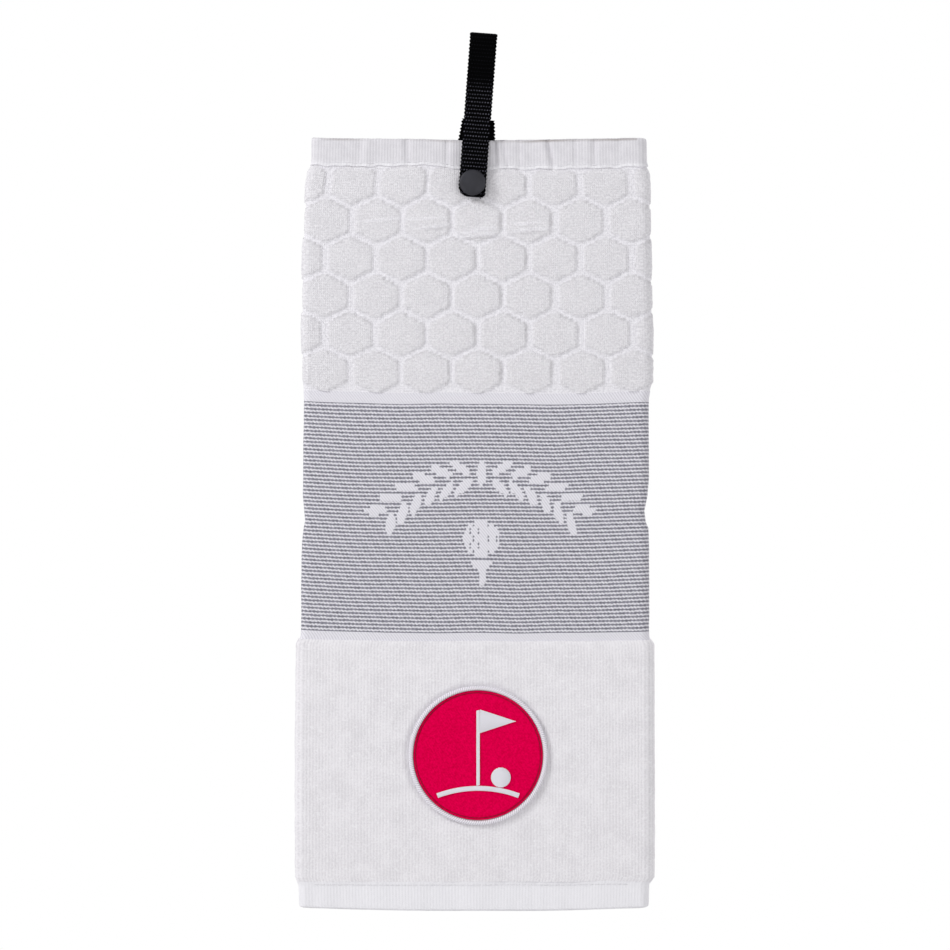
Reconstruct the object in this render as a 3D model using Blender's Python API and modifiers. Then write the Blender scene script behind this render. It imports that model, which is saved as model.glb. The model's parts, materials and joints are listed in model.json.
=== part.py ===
"""Golf towel, folded in three and hung from a webbing loop that closes with a snap.

The origin is the highest point of the inside of the loop, where a hook or ring carries the towel.
+Z is up, -Y is the towel's front face, and +X is to the right of someone facing it.
The cloth is one woven piece: a front panel, an inner flap folded behind it from the left, and an
outer flap folded over that from the right. Each flap turns about the silhouette line of its fold.
"""

import math

import bmesh
import bpy
from mathutils import Matrix, Vector

# Cloth
TOWEL_HEIGHT = 0.4064
PANEL_WIDTH = 0.186
FLAPS_SHORT = 0.0246
CLOTH_THICKNESS = 0.003
TOP_HEM_HEIGHT = 0.0159
BOTTOM_HEM_HEIGHT = 0.0137
TOP_HEM_INSET = 0.0035
BOTTOM_HEM_INSET = 0.001
FLAP_GAP = 0.0005
FOLD_STEPS = 8

# Hem stitching on the front panel
THREAD_SIZE = 0.0005
STITCH_INSET = 0.0016
STITCH_SIDE_MARGIN = 0.006

# Webbing loop
LOOP_DROP = 0.0541
WEB_WIDTH = 0.0142
WEB_THICKNESS = 0.0014
STRAP_LENGTH = 0.085
STRAP_LEAN = math.radians(4.3)
BEND_STEPS = 8

# Anchor tab, the wider webbing behind the top hem that carries the loop
TAB_TOP_WIDTH = 0.0167
TAB_FOOT_WIDTH = 0.0205
TAB_THICKNESS = 0.0012
TAB_RISE = 0.010
TAB_SINK = 0.012
TACK_THICKNESS = 0.0003
TACK_HEIGHT = 0.0016
TACK_SIDE_MARGIN = 0.0025
TACK_BELOW_HEM = 0.006

# Snap fastener
SNAP_BELOW_HEM = 0.0241
CAP_RADIUS = 0.0068
CAP_THICKNESS = 0.002
CAP_EDGE = 0.0006
POST_RADIUS = 0.0009
SOCKET_RADIUS = 0.0052
SOCKET_THICKNESS = 0.00125
STUD_RADIUS = 0.0046
STUD_FLANGE = 0.0007
STUD_HEAD_RADIUS = 0.0023
STUD_HEAD_HEIGHT = 0.0007
BACK_CAP_RADIUS = 0.0062
BACK_CAP_THICKNESS = 0.0012
SNAP_STEPS = 32

# Round patch
PATCH_RADIUS = 0.0368
PATCH_BORDER_WIDTH = 0.0024
PATCH_BORDER_DEPTH = 0.0019
PATCH_ABOVE_BOTTOM = 0.0803
PATCH_OFFSET = 0.0011
PATCH_THICKNESS = 0.0008
BACKING_THICKNESS = 0.0005
PATCH_THREAD = 0.00025
PATCH_THREAD_INSET = 0.0011
RING_STEPS = 64

# Emblem on the patch: a flag on its pin, a ball, and the edge of a green, at these sizes on a
# patch of this radius
EMBLEM_DRAWN_RADIUS = 0.0368
EMBLEM_THICKNESS = 0.0006
PIN_HEIGHT = 0.040
PIN_WIDTH = 0.0018
FLAG_LENGTH = 0.019
FLAG_HEIGHT = 0.0125
BALL_RADIUS = 0.0052
BALL_OFFSET = 0.012
GREEN_LENGTH = 0.044
GREEN_RISE = 0.004
GREEN_WIDTH = 0.0026
GREEN_BELOW_MIDDLE = 0.016
EMBLEM_STEPS = 24

# Clearances
CLEARANCE = 0.00025
POST_CLEARANCE = 0.0003
HINGE_GAP = 0.0003

# The loop is as wide inside as the cloth and the closed snap that it goes round.
STUD_STACK = CLEARANCE + STUD_FLANGE + CLEARANCE + SOCKET_THICKNESS + CLEARANCE
LOOP_HALF_GAP = (HINGE_GAP + CLOTH_THICKNESS + STUD_STACK) / 2

# Planes from front to back, as y values
STRAP_BACK = -LOOP_HALF_GAP
STRAP_FRONT = STRAP_BACK - WEB_THICKNESS
PANEL_BACK = LOOP_HALF_GAP - HINGE_GAP
PANEL_FRONT = PANEL_BACK - CLOTH_THICKNESS
TAB_FRONT = LOOP_HALF_GAP
TAB_BACK = TAB_FRONT + TAB_THICKNESS
TACK_FRONT = TAB_BACK + CLEARANCE
INNER_FLAP_FRONT = TACK_FRONT + TACK_THICKNESS + CLEARANCE
INNER_FLAP_BACK = INNER_FLAP_FRONT + CLOTH_THICKNESS
OUTER_FLAP_FRONT = INNER_FLAP_BACK + FLAP_GAP
OUTER_FLAP_BACK = OUTER_FLAP_FRONT + CLOTH_THICKNESS

# Heights, as z values
TOWEL_TOP = -LOOP_DROP
TOWEL_BOTTOM = TOWEL_TOP - TOWEL_HEIGHT
TOP_HEM_LINE = TOWEL_TOP - TOP_HEM_HEIGHT
BOTTOM_HEM_LINE = TOWEL_BOTTOM + BOTTOM_HEM_HEIGHT

# The strap leans, and it crosses the top hem at the towel's middle.
TOWEL_MIDDLE = TOWEL_TOP * math.tan(STRAP_LEAN)
LEFT_EDGE = TOWEL_MIDDLE - PANEL_WIDTH / 2
RIGHT_EDGE = TOWEL_MIDDLE + PANEL_WIDTH / 2

# A fold's outer radius is half the distance across the two layers that it joins.
LEFT_FOLD_RADIUS = (INNER_FLAP_BACK - PANEL_FRONT) / 2
LEFT_FOLD_MIDDLE = (LEFT_EDGE + LEFT_FOLD_RADIUS, (INNER_FLAP_BACK + PANEL_FRONT) / 2)
RIGHT_FOLD_RADIUS = (OUTER_FLAP_BACK - PANEL_FRONT) / 2
RIGHT_FOLD_MIDDLE = (RIGHT_EDGE - RIGHT_FOLD_RADIUS, (OUTER_FLAP_BACK + PANEL_FRONT) / 2)

# The cloth is cut less than three panels wide, so that each flap stops short of the far fold.
# The flaps share what the front panel and the two bends leave of its width.
CLOTH_WIDTH = 3 * PANEL_WIDTH - FLAPS_SHORT
FLAT_FRONT = PANEL_WIDTH - LEFT_FOLD_RADIUS - RIGHT_FOLD_RADIUS
BENDS = math.pi * (LEFT_FOLD_RADIUS + RIGHT_FOLD_RADIUS - CLOTH_THICKNESS)
FLAP_LENGTH = (CLOTH_WIDTH - FLAT_FRONT - BENDS) / 2

# Along the strap, measured up from the inside of the loop's top
HEM_ALONG = -LOOP_DROP / math.cos(STRAP_LEAN)
TAB_TOP = HEM_ALONG + TAB_RISE
TAB_FOOT = HEM_ALONG - TAB_SINK
SNAP_ALONG = HEM_ALONG - SNAP_BELOW_HEM

# The patch's layers, from the cloth outwards
BACKING_BACK = PANEL_FRONT - CLEARANCE
TWILL_BACK = BACKING_BACK - BACKING_THICKNESS - CLEARANCE
TWILL_FRONT = TWILL_BACK - PATCH_THICKNESS
EMBLEM_BACK = TWILL_FRONT - CLEARANCE
TWILL_RADIUS = PATCH_RADIUS - PATCH_BORDER_WIDTH - CLEARANCE

# Turns a flat shape drawn in X and Y to face the front: its Y becomes +Z, and its Z becomes -Y.
FACING = Matrix.Rotation(math.radians(90), 4, "X")
# Turns an outline drawn in X and Y into a side view: its X becomes Y, its Y becomes Z.
SIDE_VIEW = Matrix(((0, 0, 1, 0), (1, 0, 0, 0), (0, 1, 0, 0), (0, 0, 0, 1)))
ALONG_STRAP = Matrix.Rotation(STRAP_LEAN, 4, "Y")
ON_PATCH = Matrix.Translation(
    (TOWEL_MIDDLE + PATCH_OFFSET, 0, TOWEL_BOTTOM + PATCH_ABOVE_BOTTOM)
)

COLOURS = {
    "terry": ((0.80, 0.79, 0.81, 1), 0.95),
    "hem_thread": ((0.86, 0.85, 0.87, 1), 0.7),
    "webbing": ((0.012, 0.012, 0.014, 1), 0.8),
    "black_thread": ((0.008, 0.008, 0.009, 1), 0.6),
    "snap_plastic": ((0.045, 0.045, 0.055, 1), 0.55),
    "patch_twill": ((0.70, 0.003, 0.055, 1), 0.8),
    "white_thread": ((0.85, 0.84, 0.86, 1), 0.55),
    "crimson_thread": ((0.50, 0.002, 0.040, 1), 0.6),
    "backing": ((0.60, 0.60, 0.60, 1), 0.8),
}


def clear_scene():
    for thing in list(bpy.data.objects):
        bpy.data.objects.remove(thing)
    for group in list(bpy.data.collections):
        bpy.data.collections.remove(group)


def new_collection(name):
    group = bpy.data.collections.new(name)
    bpy.context.scene.collection.children.link(group)
    return group


def material(name):
    made = bpy.data.materials.get(name)
    if made is None:
        made = bpy.data.materials.new(name)
        made.use_nodes = True
        colour, roughness = COLOURS[name]
        shader = made.node_tree.nodes["Principled BSDF"]
        shader.inputs["Base Color"].default_value = colour
        shader.inputs["Roughness"].default_value = roughness
        shader.inputs["Metallic"].default_value = 0.0
    return made


def hang_on(thing, hinge):
    """Parents a thing to a hinge's empty without moving it."""
    if hinge is not None:
        thing.parent = hinge
        thing.matrix_parent_inverse = HINGE_PLACES[hinge.name].inverted()


def hinge_line(name, place, carrier=None):
    """An empty on a joint's axis, which the pieces that turn about it have as their parent."""
    empty = bpy.data.objects.new(name, None)
    empty.empty_display_size = 0.01
    parts.objects.link(empty)
    HINGE_PLACES[name] = place
    empty.matrix_basis = place
    hang_on(empty, carrier)
    return empty


def add_part(name, data, look, hinge, place=None):
    part = bpy.data.objects.new(name, data)
    parts.objects.link(part)
    data.materials.append(material(look))
    part.matrix_basis = Matrix() if place is None else place
    hang_on(part, hinge)
    return part


def finished_mesh(bm, name):
    bmesh.ops.recalc_face_normals(bm, faces=bm.faces)
    mesh = bpy.data.meshes.new(name)
    bm.to_mesh(mesh)
    bm.free()
    return mesh


def arc(middle, radius, start, end, steps):
    """Points of an arc from one angle in degrees to another, both included."""
    angles = [math.radians(start + (end - start) * i / steps) for i in range(steps + 1)]
    return [(middle[0] + radius * math.cos(a), middle[1] + radius * math.sin(a)) for a in angles]


def short_of(plane_gap, radius):
    """The angle in degrees that keeps an arc's end this far from the plane that it would meet."""
    return math.degrees(math.asin(plane_gap / radius))


def bent_edge(middle, outer_radius, thickness, start, end, steps):
    """The outer and inner arcs of a quarter bend whose start stops short of the hinge plane."""
    turn = 1 if end > start else -1
    inner_radius = outer_radius - thickness
    outer_start = start + turn * short_of(HINGE_GAP / 2, outer_radius)
    inner_start = start + turn * short_of(HINGE_GAP / 2, inner_radius)
    outer = arc(middle, outer_radius, outer_start, end, steps)
    inner = arc(middle, inner_radius, end, inner_start, steps)
    return outer, inner


def swept(outline, levels):
    """A closed outline in X and Y, extruded through a list of heights."""
    bm = bmesh.new()
    floor = bm.faces.new([bm.verts.new((x, y, levels[0])) for x, y in outline])
    face = floor
    for low, high in zip(levels, levels[1:]):
        raised = bmesh.ops.extrude_face_region(bm, geom=[face])["geom"]
        corners = [item for item in raised if isinstance(item, bmesh.types.BMVert)]
        bmesh.ops.translate(bm, verts=corners, vec=(0, 0, high - low))
        if face is not floor:
            bmesh.ops.delete(bm, geom=[face], context="FACES_ONLY")
        face = next(item for item in raised if isinstance(item, bmesh.types.BMFace))
    return bm


def cloth(name, outline, hinge):
    """A layer of the towel, whose sides come in a little at both hems."""
    levels = [TOWEL_BOTTOM, BOTTOM_HEM_LINE, TOP_HEM_LINE, TOWEL_TOP]
    insets = [BOTTOM_HEM_INSET, 0, 0, TOP_HEM_INSET]
    bm = swept(outline, levels)
    for corner in bm.verts:
        level = min(range(len(levels)), key=lambda i: abs(levels[i] - corner.co.z))
        share = 1 - insets[level] / (PANEL_WIDTH / 2)
        corner.co.x = TOWEL_MIDDLE + (corner.co.x - TOWEL_MIDDLE) * share
    return add_part(name, finished_mesh(bm, name), "terry", hinge)


def flat_outline(name, outline, thickness, look, hinge, place):
    """A flat shape facing the front, from an outline in X and Z. The place is its back face."""
    curve = bpy.data.curves.new(name, "CURVE")
    curve.dimensions = "2D"
    curve.fill_mode = "BOTH"
    curve.extrude = thickness / 2
    spline = curve.splines.new("POLY")
    spline.points.add(len(outline) - 1)
    for point, (x, y) in zip(spline.points, outline):
        point.co = (x, y, 0, 1)
    spline.use_cyclic_u = True
    lift = Matrix.Translation((0, 0, thickness / 2))
    return add_part(name, curve, look, hinge, place @ FACING @ lift)


def turned(name, profile, look, hinge, place, steps, closed=False):
    """A profile of (radius, height) points spun about its height, which points to the front."""
    bm = bmesh.new()
    points = [bm.verts.new((radius, 0, height)) for radius, height in profile]
    for one, other in zip(points, points[1:]):
        bm.edges.new((one, other))
    if closed:
        bm.edges.new((points[-1], points[0]))
    mesh = bpy.data.meshes.new(name)
    bm.to_mesh(mesh)
    bm.free()
    part = add_part(name, mesh, look, hinge, place @ FACING)
    screw = part.modifiers.new("Spin", "SCREW")
    screw.axis = "Z"
    screw.angle = math.tau
    screw.steps = steps
    screw.render_steps = steps
    screw.use_merge_vertices = True
    screw.merge_threshold = 0.00001
    screw.use_smooth_shade = True
    return part


def box(name, low, high, look, hinge, place=None):
    bm = bmesh.new()
    bmesh.ops.create_cube(bm, size=1)
    low, high = Vector(low), Vector(high)
    bmesh.ops.scale(bm, vec=high - low, verts=bm.verts)
    bmesh.ops.translate(bm, vec=(low + high) / 2, verts=bm.verts)
    return add_part(name, finished_mesh(bm, name), look, hinge, place)


def pierce(part, hole_radius, middle):
    """Cuts a round hole from front to back through a part."""
    bm = bmesh.new()
    length = 4 * (CLOTH_THICKNESS + WEB_THICKNESS)
    bmesh.ops.create_cone(
        bm, cap_ends=True, segments=SNAP_STEPS, radius1=hole_radius, radius2=hole_radius, depth=length
    )
    cutter = bpy.data.objects.new(part.name + "_hole", finished_mesh(bm, part.name + "_hole"))
    cutters.objects.link(cutter)
    cutter.matrix_basis = middle @ FACING
    cutter.hide_render = True
    cutter.display_type = "WIRE"
    cut = part.modifiers.new("Hole", "BOOLEAN")
    cut.operation = "DIFFERENCE"
    cut.solver = "EXACT"
    cut.object = cutter


def make_cloth():
    left_outer, left_inner = bent_edge(
        LEFT_FOLD_MIDDLE, LEFT_FOLD_RADIUS, CLOTH_THICKNESS, 180, 270, FOLD_STEPS
    )
    right_outer, right_inner = bent_edge(
        RIGHT_FOLD_MIDDLE, RIGHT_FOLD_RADIUS, CLOTH_THICKNESS, 360, 270, FOLD_STEPS
    )
    outline = left_outer + right_outer[::-1] + right_inner[::-1] + left_inner
    panel = cloth("centre_panel", outline, strap_swing)
    pierce(panel, POST_RADIUS + POST_CLEARANCE, SNAP)

    outer, inner = bent_edge(
        LEFT_FOLD_MIDDLE, LEFT_FOLD_RADIUS, CLOTH_THICKNESS, 180, 90, FOLD_STEPS
    )
    free_edge = LEFT_FOLD_MIDDLE[0] + FLAP_LENGTH
    end = [(free_edge, INNER_FLAP_BACK), (free_edge, INNER_FLAP_FRONT)]
    cloth("left_flap", outer + end + inner, left_fold)

    outer, inner = bent_edge(
        RIGHT_FOLD_MIDDLE, RIGHT_FOLD_RADIUS, CLOTH_THICKNESS, 0, 90, FOLD_STEPS
    )
    free_edge = RIGHT_FOLD_MIDDLE[0] - FLAP_LENGTH
    end = [(free_edge, OUTER_FLAP_BACK), (free_edge, OUTER_FLAP_FRONT)]
    cloth("right_flap", outer + end + inner, right_fold)


def make_hem_stitching():
    back = PANEL_FRONT - CLEARANCE
    rows = {
        "top_hem_stitching": TOP_HEM_LINE + STITCH_INSET,
        "bottom_hem_stitching": BOTTOM_HEM_LINE - STITCH_INSET,
    }
    left = LEFT_EDGE + LEFT_FOLD_RADIUS + STITCH_SIDE_MARGIN
    right = RIGHT_EDGE - RIGHT_FOLD_RADIUS - STITCH_SIDE_MARGIN
    for name, height in rows.items():
        low = (left, back - THREAD_SIZE, height - THREAD_SIZE / 2)
        high = (right, back, height + THREAD_SIZE / 2)
        box(name, low, high, "hem_thread", strap_swing)


def make_strap():
    outer_radius = LOOP_HALF_GAP + WEB_THICKNESS
    middle = (0, -LOOP_HALF_GAP)
    outer, inner = bent_edge(middle, outer_radius, WEB_THICKNESS, 90, 180, BEND_STEPS)
    end = [(STRAP_FRONT, -STRAP_LENGTH), (STRAP_BACK, -STRAP_LENGTH)]
    bm = swept(outer + end + inner, [-WEB_WIDTH / 2, WEB_WIDTH / 2])
    bmesh.ops.transform(bm, matrix=SIDE_VIEW, verts=bm.verts)
    front = add_part(
        "strap_front", finished_mesh(bm, "strap_front"), "webbing", strap_open, ALONG_STRAP
    )
    pierce(front, POST_RADIUS + POST_CLEARANCE, SNAP)

    outer, inner = bent_edge(middle, outer_radius, WEB_THICKNESS, 90, 0, BEND_STEPS)
    foot = TAB_TOP + HINGE_GAP
    end = [(outer_radius, foot), (LOOP_HALF_GAP, foot)]
    bm = swept(outer + end + inner, [-WEB_WIDTH / 2, WEB_WIDTH / 2])
    bmesh.ops.transform(bm, matrix=SIDE_VIEW, verts=bm.verts)
    add_part("strap_rear", finished_mesh(bm, "strap_rear"), "webbing", None, ALONG_STRAP)


def make_anchor():
    outline = [
        (-TAB_TOP_WIDTH / 2, TAB_TOP),
        (TAB_TOP_WIDTH / 2, TAB_TOP),
        (TAB_FOOT_WIDTH / 2, TAB_FOOT),
        (-TAB_FOOT_WIDTH / 2, TAB_FOOT),
    ]
    behind = ALONG_STRAP @ Matrix.Translation((0, TAB_BACK, 0))
    flat_outline("anchor_tab", outline, TAB_THICKNESS, "webbing", strap_swing, behind)
    half_width = TAB_FOOT_WIDTH / 2 - TACK_SIDE_MARGIN
    height = HEM_ALONG - TACK_BELOW_HEM
    low = (-half_width, TACK_FRONT, height - TACK_HEIGHT / 2)
    high = (half_width, TACK_FRONT + TACK_THICKNESS, height + TACK_HEIGHT / 2)
    box("anchor_stitching", low, high, "black_thread", strap_swing, ALONG_STRAP)


def make_snap():
    bore = POST_RADIUS + POST_CLEARANCE

    edge = arc((CAP_RADIUS - CAP_EDGE, CAP_THICKNESS - CAP_EDGE), CAP_EDGE, 90, 0, 4)
    post_end = -(CLEARANCE + WEB_THICKNESS + 2 * CLEARANCE)
    profile = [(0, CAP_THICKNESS)] + edge + [(CAP_RADIUS, 0), (POST_RADIUS, 0)]
    profile += [(POST_RADIUS, post_end), (0, post_end)]
    place = SNAP @ Matrix.Translation((0, STRAP_FRONT - CLEARANCE, 0))
    turned("snap_cap", profile, "snap_plastic", strap_open, place, SNAP_STEPS)

    recess = STUD_HEAD_RADIUS + POST_CLEARANCE
    recess_top = STUD_HEAD_HEIGHT + CLEARANCE
    profile = [(SOCKET_RADIUS, SOCKET_THICKNESS), (SOCKET_RADIUS, 0), (recess, 0)]
    profile += [(recess, recess_top), (bore, recess_top), (bore, SOCKET_THICKNESS)]
    place = SNAP @ Matrix.Translation((0, STRAP_BACK + CLEARANCE + SOCKET_THICKNESS, 0))
    turned("snap_socket", profile, "snap_plastic", strap_open, place, SNAP_STEPS, closed=True)

    head_top = STUD_FLANGE + STUD_HEAD_HEIGHT
    bore_top = STUD_FLANGE + STUD_HEAD_HEIGHT / 3
    profile = [(0, head_top), (STUD_HEAD_RADIUS, head_top), (STUD_HEAD_RADIUS, STUD_FLANGE)]
    profile += [(STUD_RADIUS, STUD_FLANGE), (STUD_RADIUS, 0), (bore, 0), (bore, bore_top)]
    profile += [(0, bore_top)]
    place = SNAP @ Matrix.Translation((0, PANEL_FRONT - CLEARANCE, 0))
    turned("snap_stud", profile, "snap_plastic", strap_swing, place, SNAP_STEPS)

    post_top = CLEARANCE + CLOTH_THICKNESS + CLEARANCE + STUD_FLANGE / 2
    profile = [(0, post_top), (POST_RADIUS, post_top), (POST_RADIUS, 0), (BACK_CAP_RADIUS, 0)]
    profile += [(BACK_CAP_RADIUS, -BACK_CAP_THICKNESS), (0, -BACK_CAP_THICKNESS)]
    place = SNAP @ Matrix.Translation((0, PANEL_BACK + CLEARANCE, 0))
    turned("snap_back_cap", profile, "snap_plastic", strap_swing, place, SNAP_STEPS)


def make_patch():
    def disc(radius, thickness):
        return [(0, thickness), (radius, thickness), (radius, 0), (0, 0)]

    def layer(y):
        return ON_PATCH @ Matrix.Translation((0, y, 0))

    turned(
        "patch_backing",
        disc(PATCH_RADIUS - PATCH_BORDER_WIDTH / 2, BACKING_THICKNESS),
        "backing",
        strap_swing,
        layer(BACKING_BACK),
        RING_STEPS,
    )
    turned(
        "patch_ground",
        disc(TWILL_RADIUS, PATCH_THICKNESS),
        "patch_twill",
        strap_swing,
        layer(TWILL_BACK),
        RING_STEPS,
    )
    half_width, half_depth = PATCH_BORDER_WIDTH / 2, PATCH_BORDER_DEPTH / 2
    border = [
        (PATCH_RADIUS - half_width + half_width * math.cos(a), half_depth + half_depth * math.sin(a))
        for a in (math.radians(90 - 30 * i) for i in range(12))
    ]
    turned(
        "patch_border",
        border,
        "white_thread",
        strap_swing,
        layer(TWILL_BACK),
        RING_STEPS,
        closed=True,
    )
    ring = [
        (TWILL_RADIUS - PATCH_THREAD_INSET + PATCH_THREAD * math.cos(a), PATCH_THREAD * math.sin(a))
        for a in (math.radians(90 - 60 * i) for i in range(6))
    ]
    turned(
        "patch_stitching",
        ring,
        "crimson_thread",
        strap_swing,
        layer(TWILL_FRONT - CLEARANCE - PATCH_THREAD),
        RING_STEPS,
        closed=True,
    )


def make_emblem():
    front = ON_PATCH @ Matrix.Translation((0, EMBLEM_BACK, 0))
    scale = PATCH_RADIUS / EMBLEM_DRAWN_RADIUS
    half_length = scale * GREEN_LENGTH / 2
    rise = scale * GREEN_RISE
    green_radius = (half_length**2 + rise**2) / (2 * rise)
    crest = -scale * GREEN_BELOW_MIDDLE
    green_middle = (0, crest - green_radius)
    spread = math.degrees(math.asin(half_length / green_radius))
    outer = arc(green_middle, green_radius, 90 - spread, 90 + spread, EMBLEM_STEPS)
    inner = arc(
        green_middle, green_radius - scale * GREEN_WIDTH, 90 + spread, 90 - spread, EMBLEM_STEPS
    )
    flat_outline(
        "patch_green", outer + inner, EMBLEM_THICKNESS, "white_thread", strap_swing, front
    )

    pin_foot = crest + CLEARANCE
    pin_top = pin_foot + scale * PIN_HEIGHT
    half_pin = scale * PIN_WIDTH / 2
    flag_height = scale * FLAG_HEIGHT
    flag = [
        (-half_pin, pin_foot),
        (half_pin, pin_foot),
        (half_pin, pin_top - flag_height),
        (half_pin + scale * FLAG_LENGTH, pin_top - flag_height / 2),
        (half_pin, pin_top),
        (-half_pin, pin_top),
    ]
    flat_outline("patch_flag", flag, EMBLEM_THICKNESS, "white_thread", strap_swing, front)

    ball_radius = scale * BALL_RADIUS
    ball_offset = scale * BALL_OFFSET
    reach = green_radius + ball_radius + CLEARANCE
    ball_middle = (ball_offset, green_middle[1] + math.sqrt(reach**2 - ball_offset**2))
    ball = arc(ball_middle, ball_radius, 0, 360, EMBLEM_STEPS)[:-1]
    flat_outline("patch_ball", ball, EMBLEM_THICKNESS, "white_thread", strap_swing, front)


HINGE_PLACES = {}
SNAP = ALONG_STRAP @ Matrix.Translation((0, 0, SNAP_ALONG))

clear_scene()
parts = new_collection("golf_towel")
cutters = new_collection("golf_towel_cutters")

strap_open = hinge_line("strap_open", ALONG_STRAP @ Matrix.Translation((0, 0, WEB_THICKNESS)))
strap_swing = hinge_line(
    "strap_swing",
    ALONG_STRAP @ Matrix.Translation((0, LOOP_HALF_GAP + WEB_THICKNESS, TAB_TOP + HINGE_GAP / 2)),
)
left_fold = hinge_line(
    "left_fold", Matrix.Translation((LEFT_EDGE, LEFT_FOLD_MIDDLE[1], TOWEL_TOP)), strap_swing
)
right_fold = hinge_line(
    "right_fold", Matrix.Translation((RIGHT_EDGE, RIGHT_FOLD_MIDDLE[1], TOWEL_TOP)), strap_swing
)

make_strap()
make_anchor()
make_cloth()
make_hem_stitching()
make_snap()
make_patch()
make_emblem()
bpy.context.view_layer.update()
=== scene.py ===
# %% [markdown]
# # A golf towel on its webbing loop
# The towel is one woven cloth, folded in three and hung from a black webbing loop. The frame gives the
# real sizes: where each layer lies, where the folds turn and where the snap and the patch sit. This
# lesson dresses that frame in cloth, webbing, thread and plastic, and moves none of it.

import json
import math

import bmesh
import bpy
import numpy as np
from mathutils import Matrix, Vector


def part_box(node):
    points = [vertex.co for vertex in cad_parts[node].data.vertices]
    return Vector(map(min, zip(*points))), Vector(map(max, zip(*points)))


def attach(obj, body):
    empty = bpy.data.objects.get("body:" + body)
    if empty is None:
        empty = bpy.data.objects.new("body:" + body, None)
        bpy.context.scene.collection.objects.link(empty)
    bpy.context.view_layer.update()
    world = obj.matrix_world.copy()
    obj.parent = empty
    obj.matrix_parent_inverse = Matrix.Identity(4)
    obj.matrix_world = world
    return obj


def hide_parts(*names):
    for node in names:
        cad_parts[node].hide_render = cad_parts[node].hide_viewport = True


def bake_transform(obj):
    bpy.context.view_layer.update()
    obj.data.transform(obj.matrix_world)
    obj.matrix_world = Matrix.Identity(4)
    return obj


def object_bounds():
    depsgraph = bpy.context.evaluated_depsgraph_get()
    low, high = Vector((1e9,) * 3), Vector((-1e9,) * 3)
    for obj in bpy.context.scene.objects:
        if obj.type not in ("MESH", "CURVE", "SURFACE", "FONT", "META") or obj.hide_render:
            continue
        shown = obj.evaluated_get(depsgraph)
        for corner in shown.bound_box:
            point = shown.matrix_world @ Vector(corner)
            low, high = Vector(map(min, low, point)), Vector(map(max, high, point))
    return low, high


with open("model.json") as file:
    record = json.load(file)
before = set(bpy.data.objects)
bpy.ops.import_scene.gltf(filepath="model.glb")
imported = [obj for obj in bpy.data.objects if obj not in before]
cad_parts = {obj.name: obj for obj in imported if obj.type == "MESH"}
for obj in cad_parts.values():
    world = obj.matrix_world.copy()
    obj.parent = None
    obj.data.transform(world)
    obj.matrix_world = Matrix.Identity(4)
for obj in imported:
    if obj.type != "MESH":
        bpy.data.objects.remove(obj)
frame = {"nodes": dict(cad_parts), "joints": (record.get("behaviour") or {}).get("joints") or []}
cad_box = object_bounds()
print("the frame is", [round(h - l, 4) for l, h in zip(*cad_box)], "metres")

# %% [markdown]
# ## The view
# Seen from far away through a long lens, both edges of the towel stay parallel and its true shape
# shows. A 100 mm lens about 1.4 metres away does that. The camera looks straight at the middle of the
# height from the loop's top to the bottom hem, and a little to the left of the loop, which leans.

# %% Camera
VIEW_WIDTH = 0.5022
LENS = 100
SENSOR = 36
VIEW_MIDDLE = Vector((-0.0046, 0, -0.2322))


def add_object(name, data):
    made = bpy.data.objects.new(name, data)
    bpy.context.scene.collection.objects.link(made)
    return made


camera = add_object("camera", bpy.data.cameras.new("camera"))
camera.data.lens = LENS
camera.data.sensor_width = SENSOR
camera.location = VIEW_MIDDLE + Vector((0, -VIEW_WIDTH * LENS / SENSOR, 0))
camera.rotation_euler = (math.radians(90), 0, 0)
bpy.context.scene.camera = camera
print("camera", round(-camera.location.y, 3), "m in front of the loop")

# %% [markdown]
# ## Light
# White cloth shows its relief only in gentle light that comes mostly from one side. A broad lamp high
# on the left is the key, and a weaker one on the right keeps the shadows pale.

# %% Lights


def area_light(name, place, target, size, power):
    lamp = add_object(name, bpy.data.lights.new(name, "AREA"))
    lamp.data.shape = "DISK"
    lamp.data.size = size
    lamp.data.energy = power
    lamp.location = place
    lamp.rotation_euler = (Vector(target) - Vector(place)).to_track_quat("-Z", "Y").to_euler()


area_light("key_light", (-1.5, -1.1, 0.9), VIEW_MIDDLE, 0.7, 19)
area_light("fill_light", (1.7, -1.5, 0.1), VIEW_MIDDLE, 1.4, 3)
area_light("back_light", (1.2, 1.6, 0.9), VIEW_MIDDLE, 0.9, 13)
print(len(bpy.data.lights), "lamps")

# %% [markdown]
# ### Small helpers for shader nodes
# The world is a few nodes before a background, and every finish below is a few nodes before a shader.
# `Nodes` keeps them short: one call adds a node, and links a value or another output to its inputs.

# %% Node helper


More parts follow.
